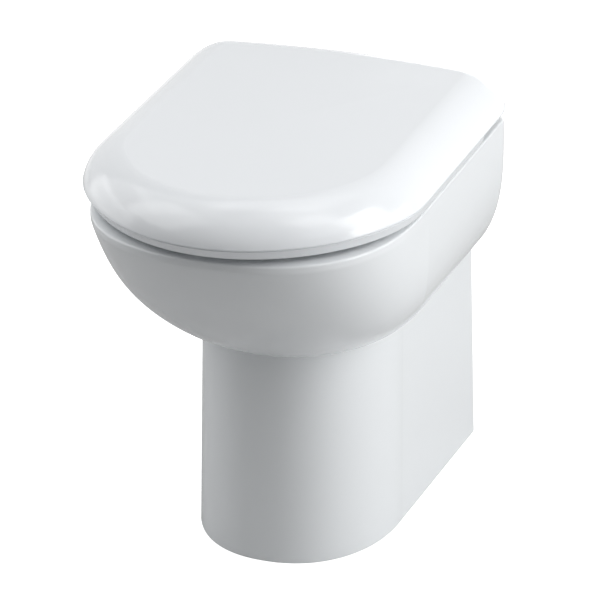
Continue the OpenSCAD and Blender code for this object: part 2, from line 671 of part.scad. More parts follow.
module seat_wing(side) {
    color(seat_white) mirror([side < 0 ? 1 : 0, 0, 0]) difference() {
        across(block_out + wing_gap, wing_w) union() {
            translate([hinge_depth, hinge_z]) circle(r = barrel_r);
            polygon([[hinge_depth + 3, hinge_z - barrel_r + 1.6],
                [seat_back - 7, seat_z - wing_plate_t], [seat_plate_end, seat_z - wing_plate_t],
                [seat_plate_end, seat_z], [seat_back - 4, seat_z], [seat_back - 4, seat_z + 1],
                [hinge_depth + 9, hinge_z + barrel_r - 2.5], [hinge_depth + 1, hinge_z + barrel_r - 1.1]]);
        }
        barrel_at(block_out + wing_gap - 1, wing_bore, wing_w + 2);
        seat_screw_spots() translate([0, 0, seat_z - wing_plate_t - 1])
            cylinder(r = screw_r + running, h = wing_plate_t + 2);
    }
}
module seat_screw_spots() {
    for (d = [seat_plate_end - screw_edge, seat_plate_end - screw_edge - screw_pitch])
        translate([block_out + wing_gap + wing_w / 2, wall_y - d, 0]) children();
}
module seat_screws() {
    color("silver") for (m = [0, 1]) mirror([m, 0, 0]) seat_screw_spots()
        screw(seat_z - wing_plate_t - screw_head, wing_plate_t + screw_bite);
}
module seat_buffers() {
    color("gainsboro") for (s = [-1, 1]) {
        translate([s * front_buffer_x, wall_y - front_buffer_d, rim_height + face_gap])
            cylinder(r = buffer_r, h = seat_gap - face_gap);
        translate([s * side_buffer_x, wall_y - side_buffer_d, rim_height + face_gap])
            cylinder(r = buffer_r, h = seat_gap - face_gap);
    }
}

pan_shell();
pan_basin();
pan_deck();
trap_bend();
trap_riser();
outlet_spigot();
flush_inlet();
floor_lugs();
base_plate(-1);  // base_plate_left
base_plate(1);  // base_plate_right
stud(-1);  // stud_left
stud(1);  // stud_right
fixing_bushes();
fixing_washers();
fixing_nuts();
hinge_block(-1);  // hinge_block_left
hinge_block(1);  // hinge_block_right
damper_lid();
damper_seat();
pin_lid();
pin_seat();
release_button(-1);  // release_button_left
release_button(1);  // release_button_right
spring(-1);  // spring_left
spring(1);  // spring_right
seat_ring();
seat_wing(-1);  // seat_wing_left
seat_wing(1);  // seat_wing_right
seat_buffers();
seat_screws();
lid_shell();
lid_wing(-1);  // lid_wing_left
lid_wing(1);  // lid_wing_right
lid_buffers();
lid_screws();
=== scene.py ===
"""Back to wall toilet: the finished pieces, their finishes, the studio and the camera.

Shape formulas work in millimetres, with points written as across, forwards from the wall, and up.
Solid.place() turns them into the frame: metres, +X across, +Y back to the wall, +Z up, floor at zero.
"""

import logging
import math
from dataclasses import dataclass
from enum import Enum
from typing import Callable, Sequence

import bmesh
import bpy
import numpy as np
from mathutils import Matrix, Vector


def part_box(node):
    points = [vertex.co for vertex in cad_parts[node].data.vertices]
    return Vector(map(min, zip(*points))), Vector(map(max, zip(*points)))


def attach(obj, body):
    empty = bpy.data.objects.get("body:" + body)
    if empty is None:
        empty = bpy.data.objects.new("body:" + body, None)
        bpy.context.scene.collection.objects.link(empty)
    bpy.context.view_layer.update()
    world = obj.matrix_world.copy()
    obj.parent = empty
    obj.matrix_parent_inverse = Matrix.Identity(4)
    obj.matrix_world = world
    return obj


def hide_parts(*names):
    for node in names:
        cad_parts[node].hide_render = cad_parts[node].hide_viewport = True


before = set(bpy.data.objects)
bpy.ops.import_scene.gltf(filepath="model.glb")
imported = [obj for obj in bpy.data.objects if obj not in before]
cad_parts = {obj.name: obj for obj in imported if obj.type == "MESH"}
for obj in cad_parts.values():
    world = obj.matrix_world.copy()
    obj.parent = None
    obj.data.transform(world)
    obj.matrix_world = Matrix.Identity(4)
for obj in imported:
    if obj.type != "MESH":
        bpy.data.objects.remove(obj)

LOG = logging.getLogger("toilet")
MM = 0.001
# Points nearer than this, in millimetres, are one point
WELD = 0.004
SIDES = ((-1, "left"), (1, "right"))
# What several sub-assemblies line up with, in millimetres: the rim's height and the two hinge bolts
RIM = 400.0
BOLT_X = 77.5
BOLT_DEPTH = 80.0
Number = float | np.ndarray
Place = tuple[float, float, float]
Profile = Sequence[tuple[float, float]]


# ---------------------------------------------------------------- helpers: numbers and points


def srgb(code: str) -> tuple[float, float, float, float]:
    """Turns a written colour into the linear values that a shader takes.

    Args:
        code: the colour as #rrggbb, as it is seen.
    Returns:
        Linear red, green, blue and full alpha.
    """
    parts = [int(code[i : i + 2], 16) / 255 for i in (1, 3, 5)]
    linear = [p / 12.92 if p <= 0.04045 else ((p + 0.055) / 1.055) ** 2.4 for p in parts]
    return (linear[0], linear[1], linear[2], 1.0)


def mix(a: Number, b: Number, share: Number) -> Number:
    """Blends two values or arrays.

    Args:
        a: value where share is 0.
        b: value where share is 1.
        share: the blend, a number or an array.
    Returns:
        The blended value.
    """
    return a + (b - a) * share


def power(value: Number, exponent: float) -> Number:
    """The superellipse's curve: 2/exponent as a power, with nothing below zero.

    Args:
        value: sine or cosine of the outline's angle.
        exponent: the superellipse's exponent, 2 for a circle.
    Returns:
        The curved value.
    """
    return np.maximum(value, 0) ** (2 / exponent)


def bezier(points: Sequence[np.ndarray], share: float) -> np.ndarray:
    """A point, or a row of points, on a Bezier curve.

    Args:
        points: the curve's control points in order.
        share: how far along it.
    Returns:
        The point.
    """
    while len(points) > 1:
        points = [mix(a, b, share) for a, b in zip(points, points[1:])]
    return points[0]


def at_height(line: np.ndarray, z: Number) -> np.ndarray:
    """Gives an outline in plan its height.

    Args:
        line: points as across and from the wall.
        z: the height, one for all or one for each.
    Returns:
        Points as across, from the wall and up.
    """
    return np.concatenate([line, (z + 0 * line[..., 0])[..., None]], axis=-1)


def arc(centre: tuple[float, float], radius: float, start: float, end: float, steps: int) -> list:
    """Points on an arc in a profile's plane.

    Args:
        centre: the arc's centre.
        radius: its radius.
        start: first angle in degrees.
        end: last angle in degrees.
        steps: how many spans it has.
    Returns:
        The points, both ends included.
    """
    angles = np.radians(np.linspace(start, end, steps + 1))
    return [(centre[0] + radius * math.cos(a), centre[1] + radius * math.sin(a)) for a in angles]


def rounded(profile: Profile, radius: float, closed: bool = True) -> np.ndarray:
    """Rounds every corner of a profile, and leaves the points of its curves alone.

    Args:
        profile: the corner points in order.
        radius: the radius wanted, less where an edge is short.
        closed: whether the last point joins the first.
    Returns:
        The rounded profile as an array of points.
    """
    spans, most_of_edge, curve_turn = 4, 0.45, 0.2
    points = [np.array(p, float) for p in profile]
    count = len(points)
    result: list[np.ndarray] = []
    for i, corner in enumerate(points):
        if not closed and i in (0, count - 1):
            result.append(corner)
            continue
        before, after = points[i - 1] - corner, points[(i + 1) % count] - corner
        lengths = np.linalg.norm(before), np.linalg.norm(after)
        into, out = before / lengths[0], after / lengths[1]
        turn = math.acos(float(np.clip(into @ out, -1, 1)))
        if math.pi - turn < curve_turn:
            result.append(corner)
            continue
        reach = min(most_of_edge * min(lengths), radius / max(math.tan(turn / 2), 0.05))
        bend = [corner + into * reach, corner, corner + out * reach]
        result += [bezier(bend, t) for t in np.linspace(0, 1, spans + 1)]
    return np.array(result)


def smooth_run(points: np.ndarray, spans: int) -> np.ndarray:
    """Runs a smooth curve through control points.

    Args:
        points: the control points, one a row.
        spans: spans between each pair.
    Returns:
        The finer run of points.
    """
    padded = np.vstack([2 * points[0] - points[1], points, 2 * points[-1] - points[-2]])
    result = []
    for i in range(1, len(padded) - 2):
        p0, p1, p2, p3 = padded[i - 1 : i + 3]
        for t in np.linspace(0, 1, spans, endpoint=False):
            result.append(0.5 * (2 * p1 + (p2 - p0) * t + (2 * p0 - 5 * p1 + 4 * p2 - p3) * t**2
                                 + (3 * p1 - p0 - 3 * p2 + p3) * t**3))
    result.append(points[-1])
    return np.array(result)


def evenly(outline: Callable[[np.ndarray], np.ndarray], low: float, high: float, pitch: float) -> np.ndarray:
    """Chooses an outline's parameters so that its points lie evenly.

    Args:
        outline: gives the points for an array of parameters.
        low: first parameter.
        high: last parameter.
        pitch: the distance wanted between points, in millimetres.
    Returns:
        The parameters.
    """
    dense = np.linspace(low, high, 4001)
    run = outline(dense)
    length = np.concatenate([[0], np.cumsum(np.linalg.norm(np.diff(run, axis=0), axis=1))])
    count = max(2, round(length[-1] / pitch))
    return np.interp(np.linspace(0, length[-1], count + 1), length, dense)


def both_sides(half: np.ndarray) -> np.ndarray:
    """Completes half outlines, front middle first, into runs from the left round the front to the right.

    Args:
        half: rows of points with the first on the middle plane.
    Returns:
        Rows of points for the whole width.
    """
    left = half[:, :0:-1].copy()
    left[..., 0] *= -1
    return np.concatenate([left, half], axis=1)


def soften(rings: np.ndarray, spread: float) -> np.ndarray:
    """Takes the small kinks out of closed rings.

    Args:
        rings: rows of closed rings.
        spread: how far a kink is spread, in points.
    Returns:
        The same rings, smoother along their run.
    """
    reach = int(4 * spread)
    weights = np.exp(-0.5 * (np.arange(-reach, reach + 1) / spread) ** 2)
    weights /= weights.sum()
    return sum(w * np.roll(rings, s, axis=1) for w, s in zip(weights, range(-reach, reach + 1)))


class Axis(Enum):
    """Which way a turned piece points."""

    ACROSS = 0
    DEPTH = 1
    UP = 2


def turned(profile: Profile, centre: Place, axis: Axis, steps: int) -> np.ndarray:
    """Turns a profile about a line.

    Args:
        profile: points as radius and distance along the axis.
        centre: where the axis starts.
        axis: which way it runs.
        steps: points around.
    Returns:
        A grid of points, one ring a row.
    """
    angle = np.linspace(0, 2 * math.pi, steps, endpoint=False)
    flat = np.array(profile, float)
    first, second = flat[:, :1] * np.cos(angle), flat[:, :1] * np.sin(angle)
    along = flat[:, 1:2] + 0 * first
    order = {Axis.ACROSS: (along, first, second), Axis.DEPTH: (first, along, second),
             Axis.UP: (first, second, along)}[axis]
    return np.stack(order, axis=-1) + np.array(centre, float)


# ---------------------------------------------------------------- helpers: meshes


class Solid:
    """Collects patches of points and welds them into one closed, smooth piece."""

    def __init__(self, wall: float) -> None:
        """Starts an empty piece.

        Args:
            wall: the frame's Y of the wall face, in millimetres.
        """
        self.wall = wall
        self.points: list[np.ndarray] = []
        self.faces: list[tuple[int, ...]] = []
        self.count = 0

    def patch(self, grid: np.ndarray, around: bool = False, loop: bool = False) -> "Solid":
        """Adds a grid of points as quads.

        Args:
            grid: rows of points.
            around: whether each row closes on itself.
            loop: whether the last row joins the first.
        Returns:
            This piece.
        """
        rows, cols = grid.shape[:2]
        index = np.arange(rows * cols).reshape(rows, cols) + self.count
        if around:
            index = np.hstack([index, index[:, :1]])
        if loop:
            index = np.vstack([index, index[:1]])
        quads = np.stack([index[:-1, :-1], index[:-1, 1:], index[1:, 1:], index[1:, :-1]], axis=-1)
        self.faces += [tuple(q) for q in quads.reshape(-1, 4).tolist()]
        self.points.append(grid.reshape(-1, 3))
        self.count += rows * cols
        return self

    def sheet(self, loop: np.ndarray) -> "Solid":
        """Adds one flat face.

        Args:
            loop: its corner points in order.
        Returns:
            This piece.
        """
        self.faces.append(tuple(range(self.count, self.count + len(loop))))
        self.points.append(np.array(loop, float))
        self.count += len(loop)
        return self

    def prism(self, profile: Profile, start: float, width: float) -> "Solid":
        """Adds a profile of depth and height, carried across.

        Args:
            profile: points as distance from the wall and height.
            start: where it starts across.
            width: how far it runs.
        Returns:
            This piece.
        """
        flat = np.array(profile, float)
        ends = [np.column_stack([np.full(len(flat), x), flat]) for x in (start, start + width)]
        self.patch(np.stack(ends), around=True)
        return self.sheet(ends[0]).sheet(ends[1])

    def place(self) -> list[tuple[float, float, float]]:
        """The collected points in the frame.

        Returns:
            Points in metres.
        """
        flat = np.concatenate(self.points)
        return (np.column_stack([flat[:, 0], self.wall - flat[:, 1], flat[:, 2]]) * MM).tolist()

    def build(self, name: str, bevel: float = 0.0, sharp: float = 40.0) -> bpy.types.Object:
        """Welds the patches and makes the object.

        Args:
            name: the piece's name.
            bevel: radius of the rounding on sharp edges, in millimetres.
            sharp: edges that turn more than this many degrees are sharp.
        Returns:
            The finished object.
        """
        mesh = bpy.data.meshes.new(name)
        mesh.from_pydata(self.place(), [], self.faces)
        bm = bmesh.new()
        bm.from_mesh(mesh)
        bmesh.ops.remove_doubles(bm, verts=bm.verts, dist=WELD * MM)
        bmesh.ops.dissolve_degenerate(bm, edges=bm.edges, dist=WELD / 2 * MM)
        bmesh.ops.recalc_face_normals(bm, faces=bm.faces)
        if bevel:
            hard = [e for e in bm.edges
                    if len(e.link_faces) == 2 and e.calc_face_angle(0) > math.radians(sharp)]
            bmesh.ops.bevel(bm, geom=hard, offset=bevel * MM, segments=3, profile=0.5,
                            affect="EDGES", clamp_overlap=True)
            bmesh.ops.recalc_face_normals(bm, faces=bm.faces)
        bm.to_mesh(mesh)
        bm.free()
        piece = bpy.data.objects.new(name, mesh)
        bpy.context.scene.collection.objects.link(piece)
        smooth(piece, sharp)
        return piece


def smooth(piece: bpy.types.Object, sharp: float = 40.0) -> None:
    """Shades a piece smooth, with its hard edges kept.

    Args:
        piece: the object.
        sharp: edges that turn more than this many degrees stay hard.
    """
    piece.data.shade_smooth()
    piece.data.set_sharp_from_angle(angle=math.radians(sharp))


def settle(piece: bpy.types.Object) -> bpy.types.Object:
    """Makes a piece's modifiers part of its mesh and removes them.

    Args:
        piece: the object with modifiers.
    Returns:
        The same object, without them.
    """
    bpy.context.view_layer.update()
    graph = bpy.context.evaluated_depsgraph_get()
    shape = bpy.data.meshes.new_from_object(piece.evaluated_get(graph))
    piece.modifiers.clear()
    piece.data = shape
    return piece


def weighted(piece: bpy.types.Object) -> bpy.types.Object:
    """Lets the large faces lead the shading, so that flats stay flat beside their roundings.

    Args:
        piece: the object.
    Returns:
        The same object.
    """
    lead = piece.modifiers.new("Lead", "WEIGHTED_NORMAL")
    lead.keep_sharp = True
    lead.weight = 50
    return settle(piece)


def drilled(piece: bpy.types.Object, tools: Sequence[bpy.types.Object],
            sharp: float = 40.0) -> bpy.types.Object:
    """Cuts tools out of a piece and removes them.

    Args:
        piece: the object to cut.
        tools: the closed objects to cut with.
        sharp: edges that turn more than this many degrees stay hard.
    Returns:
        The cut object.
    """
    for tool in tools:
        cut = piece.modifiers.new("Cut", "BOOLEAN")
        cut.operation = "DIFFERENCE"
        cut.solver = "EXACT"
        cut.object = tool
    settle(piece)
    for tool in tools:
        bpy.data.objects.remove(tool)
    smooth(piece, sharp)
    return piece


# ---------------------------------------------------------------- helpers: nodes


def add_node(tree: bpy.types.NodeTree, kind: str, links: dict | None = None,
             **settings: object) -> bpy.types.Node:
    """Adds a node, sets it and links its inputs.

    Args:
        tree: the tree that takes the node.
        kind: the node's type.
        links: input name or number, with a value or the socket that feeds it.
        **settings: the node's own properties.
    Returns:
        The node.
    """
    made = tree.nodes.new(kind)
    for key, value in settings.items():
        setattr(made, key, value)
    for key, value in (links or {}).items():
        socket = made.inputs[key]
        if isinstance(value, bpy.types.NodeSocket):
            tree.links.new(value, socket)
        else:
            socket.default_value = value
    return made


def grow(host: bpy.types.Object, tree: bpy.types.NodeTree, values: dict[str, object]) -> bpy.types.Object:
    """Runs a geometry tree on an object and keeps the result as its mesh.

    Args:
        host: the object that carries the tree.
        tree: the geometry tree.
        values: input name and value.
    Returns:
        The same object with the grown mesh.
    """
    modifier = host.modifiers.new(tree.name, "NODES")
    modifier.node_group = tree
    for item in tree.interface.items_tree:
        if item.item_type == "SOCKET" and item.in_out == "INPUT" and item.name in values:
            modifier[item.identifier] = values[item.name]
    return settle(host)


def new_tree(name: str, inputs: dict[str, str]) -> tuple[bpy.types.NodeTree, bpy.types.NodeOutputs]:
    """Starts a geometry tree.

    Args:
        name: the tree's name.
        inputs: each input's name and the end of its socket type.
    Returns:
        The tree and its inputs' sockets.
    """
    tree = bpy.data.node_groups.new(name, "GeometryNodeTree")
    for label, kind in {"Geometry": "Geometry", **inputs, "Finish": "Material"}.items():
        tree.interface.new_socket(label, in_out="INPUT", socket_type="NodeSocket" + kind)
    tree.interface.new_socket("Geometry", in_out="OUTPUT", socket_type="NodeSocketGeometry")
    return tree, tree.nodes.new("NodeGroupInput").outputs


def end_tree(tree: bpy.types.NodeTree, shape: bpy.types.Node,
             given: bpy.types.NodeOutputs) -> bpy.types.NodeTree:
    """Ends a geometry tree: the shape is made real and gets its material.

    Args:
        tree: the tree.
        shape: the node that gives the shape.
        given: the tree's inputs.
    Returns:
        The same tree.
    """
    real = add_node(tree, "GeometryNodeRealizeInstances", {0: shape.outputs[0]})
    dressed = add_node(tree, "GeometryNodeSetMaterial", {0: real.outputs[0], "Material": given["Finish"]})
    add_node(tree, "NodeGroupOutput", {0: dressed.outputs[0]})
    return tree


def spots_tree() -> bpy.types.NodeTree:
    """The tree that sets a copy of one piece at each spot, each turned a little by chance.

    Returns:
        The geometry tree.
    """
    tree, given = new_tree("PiecesAtSpots", {"Piece": "Object", "Turn": "Float", "Seed": "Int"})
    info = add_node(tree, "GeometryNodeObjectInfo", {"Object": given["Piece"], "As Instance": True})
    chance = add_node(tree, "FunctionNodeRandomValue", {"Seed": given["Seed"]}, data_type="FLOAT")
    turn = add_node(tree, "ShaderNodeMath", {0: chance.outputs[1], 1: given["Turn"]}, operation="MULTIPLY")
    angle = add_node(tree, "ShaderNodeCombineXYZ", {"Z": turn.outputs[0]})
    copies = add_node(tree, "GeometryNodeInstanceOnPoints", {
        "Points": given["Geometry"], "Instance": info.outputs["Geometry"], "Rotation": angle.outputs[0]})
    return end_tree(tree, copies, given)


def helix_tree() -> bpy.types.NodeTree:
    """The tree that winds a round wire along a helix, for springs and screw threads.

    Returns:
        The geometry tree.
    """
    tree, given = new_tree("WoundWire", {"Radius": "Float", "Turns": "Float", "Length": "Float",
                                         "Wire": "Float", "Place": "Vector", "Tilt": "Vector"})
    line = add_node(tree, "GeometryNodeCurveSpiral", {
        "Resolution": 32, "Rotations": given["Turns"], "Start Radius": given["Radius"],
        "End Radius": given["Radius"], "Height": given["Length"]})
    section = add_node(tree, "GeometryNodeCurvePrimitiveCircle", {"Resolution": 10, "Radius": given["Wire"]})
    wire = add_node(tree, "GeometryNodeCurveToMesh", {
        "Curve": line.outputs[0], "Profile Curve": section.outputs[0], "Fill Caps": True})
    shaded = add_node(tree, "GeometryNodeSetShadeSmooth", {0: wire.outputs[0]})
    moved = add_node(tree, "GeometryNodeTransform", {
        "Geometry": shaded.outputs[0], "Translation": given["Place"], "Rotation": given["Tilt"]})
    return end_tree(tree, moved, given)


# ---------------------------------------------------------------- finishes


@dataclass(frozen=True)
class Finish:
    """A real finish: its colour, sheen and fine surface, with pattern sizes in millimetres."""

    name: str
    colour: str
    roughness: float
    metallic: float = 0.0
    wave: float = 0.0
    wave_depth: float = 0.0
    grain: float = 0.0
    grain_depth: float = 0.0
    spread: float = 0.0
    stretch: Place = (1.0, 1.0, 1.0)

    def pattern(self, tree: bpy.types.NodeTree, size: float, detail: float) -> bpy.types.Node:
        """Adds noise with a real size.

        Args:
            tree: the material's tree.
            size: width of the pattern in millimetres.
            detail: how many finer layers it has.
        Returns:
            The noise node.
        """
        where = add_node(tree, "ShaderNodeTexCoord")
        scaled = add_node(tree, "ShaderNodeMapping", {
            "Vector": where.outputs["Object"], "Scale": self.stretch})
        return add_node(tree, "ShaderNodeTexNoise", {
            "Vector": scaled.outputs[0], "Scale": 1 / (size * MM), "Detail": detail, "Roughness": 0.5})

    def material(self) -> bpy.types.Material:
        """Makes the procedural material.

        Returns:
            The material.
        """
        made = bpy.data.materials.new(self.name)
        made.use_nodes = True
        made.diffuse_color = srgb(self.colour)
        tree = made.node_tree
        shader = tree.nodes["Principled BSDF"]
        shader.inputs["Base Color"].default_value = srgb(self.colour)
        shader.inputs["Roughness"].default_value = self.roughness
        shader.inputs["Metallic"].default_value = self.metallic
        if self.spread:
            noise = self.pattern(tree, max(self.wave, self.grain) * 0.8, 3)
            spread = add_node(tree, "ShaderNodeMapRange", {
                "Value": noise.outputs["Fac"], "From Min": 0.3, "From Max": 0.7,
                "To Min": self.roughness * (1 - self.spread), "To Max": self.roughness * (1 + self.spread)})
            tree.links.new(spread.outputs[0], shader.inputs["Roughness"])
        normal = None
        for size, depth, detail in ((self.wave, self.wave_depth, 1), (self.grain, self.grain_depth, 2)):
            if depth:
                noise = self.pattern(tree, size, detail)
                inputs = {"Height": noise.outputs["Fac"], "Distance": depth * MM, "Strength": 1.0}
                if normal is not None:
                    inputs["Normal"] = normal
                normal = add_node(tree, "ShaderNodeBump", inputs).outputs[0]
        if normal is not None:
            tree.links.new(normal, shader.inputs["Normal"])
        return made


class Surface(Enum):
    """The finishes, each named for its real material."""

    # Fired vitreous china under a clear glaze: a hard gloss, faintly wavy where the glaze has run
    CHINA = Finish("vitreous_china_glaze", "#E9ECEE", 0.12, wave=34, wave_depth=0.05, spread=0.15)
    # Hot-pressed thermoset of the seat and lid: whiter than the china, its gloss flatter and a little softer
    DUROPLAST = Finish("duroplast_gloss", "#EEF1F4", 0.15, wave=46, wave_depth=0.03, spread=0.12)
    # Chrome on die-cast zinc: a near mirror, slightly uneven from the casting under it
    CHROME = Finish("bright_chrome", "#C9CCCF", 0.08, metallic=1.0, grain=3, grain_depth=0.002, spread=0.3)
    # Turned and rolled stainless steel: a soft sheen; the turning marks are drawn coarser than real ones
    STEEL = Finish("stainless_steel", "#B8B8B4", 0.3, metallic=1.0, grain=0.5, grain_depth=0.006,
                   spread=0.25, stretch=(1.0, 1.0, 6.0))
    # Moulded black rubber of the fixing bushes: dull, with the mould's grain drawn coarse enough to show
    RUBBER = Finish("moulded_rubber", "#2B2B2B", 0.6, grain=0.4, grain_depth=0.03, spread=0.15)
    # Soft off-white moulding of the buffers: matt, with a fine grain drawn coarser than the real one
    BUFFER = Finish("soft_buffer_moulding", "#D8DADA", 0.5, grain=0.6, grain_depth=0.02, spread=0.15)
    # Oil-filled nylon damper bodies: grey, between matt and satin
    NYLON = Finish("damper_nylon", "#8C9093", 0.42, grain=0.5, grain_depth=0.01, spread=0.2)
    # Satin moulded release buttons: smoother than the dampers, to match the chrome's grey
    BUTTON = Finish("satin_button_plastic", "#C4C8CA", 0.35, grain=0.4, grain_depth=0.008, spread=0.2)


@dataclass
class Workshop:
    """What every sub-assembly shares: where the wall is, the finishes and the geometry trees."""

    wall: float
    finishes: dict[Surface, bpy.types.Material]
    spots: bpy.types.NodeTree
    helix: bpy.types.NodeTree
    made: int = 0

    @classmethod
    def open(cls) -> "Workshop":
        """Reads the wall face from the frame and makes the finishes.

        Returns:
            The workshop.
        """
        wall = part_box("pan_shell")[1].y / MM
        return cls(wall, {s: s.value.material() for s in Surface}, spots_tree(), helix_tree())

    def solid(self, at_origin: bool = False) -> Solid:
        """Starts a piece.

        Args:
            at_origin: whether it is made at the frame's origin, to be copied from there.
        Returns:
            An empty piece.
        """
        return Solid(0.0 if at_origin else self.wall)

    def lathe(self, name: str, profile: Profile, centre: Place, axis: Axis, steps: int, bored: bool = False,
              at_origin: bool = False, **finish: float) -> bpy.types.Object:
        """Turns a piece.

        Args:
            name: the piece's name.
            profile: points as radius and distance along the axis.
            centre: where the axis starts.
            axis: which way it runs.
            steps: points around.
            bored: whether the profile goes round a bore, not from the axis to the axis.
            at_origin: whether it is made at the frame's origin, to be copied from there.
            **finish: bevel and sharp, as in Solid.build.
        Returns:
            The finished piece.
        """
        grid = turned(profile, centre, axis, steps)
        return self.solid(at_origin).patch(grid, around=True, loop=bored).build(name, **finish)

    def dress(self, piece: bpy.types.Object, surface: Surface, body: str, slot: str, *nodes: str) -> None:
        """Gives a piece its finish and its body, and hides the CAD nodes that it stands for.

        Args:
            piece: the finished object.
            surface: its finish.
            body: the CAD body it moves with.
            slot: not used.
            *nodes: the CAD nodes it replaces.
        """
        piece.data.materials.clear()
        piece.data.materials.append(self.finishes[surface])
        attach(piece, body)
        if nodes:
            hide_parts(*nodes)
        self.made += 1
        LOG.info("%s: %d faces", piece.name, len(piece.data.polygons))

    def at_spots(self, name: str, piece: bpy.types.Object, spots: Sequence[Sequence[float]], turn: float,
                 surface: Surface) -> bpy.types.Object:
        """Sets a copy of a piece at each spot and removes the piece.

        Args:
            name: the new object's name.
            piece: what is copied, made at the frame's origin.
            spots: where, as across, from the wall and up.
            turn: the most that chance turns a copy, in radians.
            surface: the copies' finish.
        Returns:
            The object with all the copies.
        """
        mesh = bpy.data.meshes.new(name)
        mesh.from_pydata([(x * MM, (self.wall - d) * MM, z * MM) for x, d, z in spots], [], [])
        host = bpy.data.objects.new(name, mesh)
        bpy.context.scene.collection.objects.link(host)
        grow(host, self.spots, {"Piece": piece, "Turn": turn, "Seed": 7, "Finish": self.finishes[surface]})
        bpy.data.objects.remove(piece)
        return host

    def wound(self, name: str, radius: float, turns: float, length: float, wire: float, place: Place,
              tilt: Place, surface: Surface) -> bpy.types.Object:
        """Winds a wire along a helix.

        Args:
            name: the new object's name.
            radius: of the helix, in millimetres.
            turns: how many.
            length: of the helix.
            wire: radius of the wire.
            place: its start, as across, from the wall and up.
            tilt: how it is turned from upright, in radians.
            surface: its finish.
        Returns:
            The wire.
        """
        host = bpy.data.objects.new(name, bpy.data.meshes.new(name))
        bpy.context.scene.collection.objects.link(host)
        spot = (place[0] * MM, (self.wall - place[1]) * MM, place[2] * MM)
        return grow(host, self.helix, {
            "Radius": radius * MM, "Turns": turns, "Length": length * MM, "Wire": wire * MM,
            "Place": spot, "Tilt": tilt, "Finish": self.finishes[surface]})


# ---------------------------------------------------------------- the pan


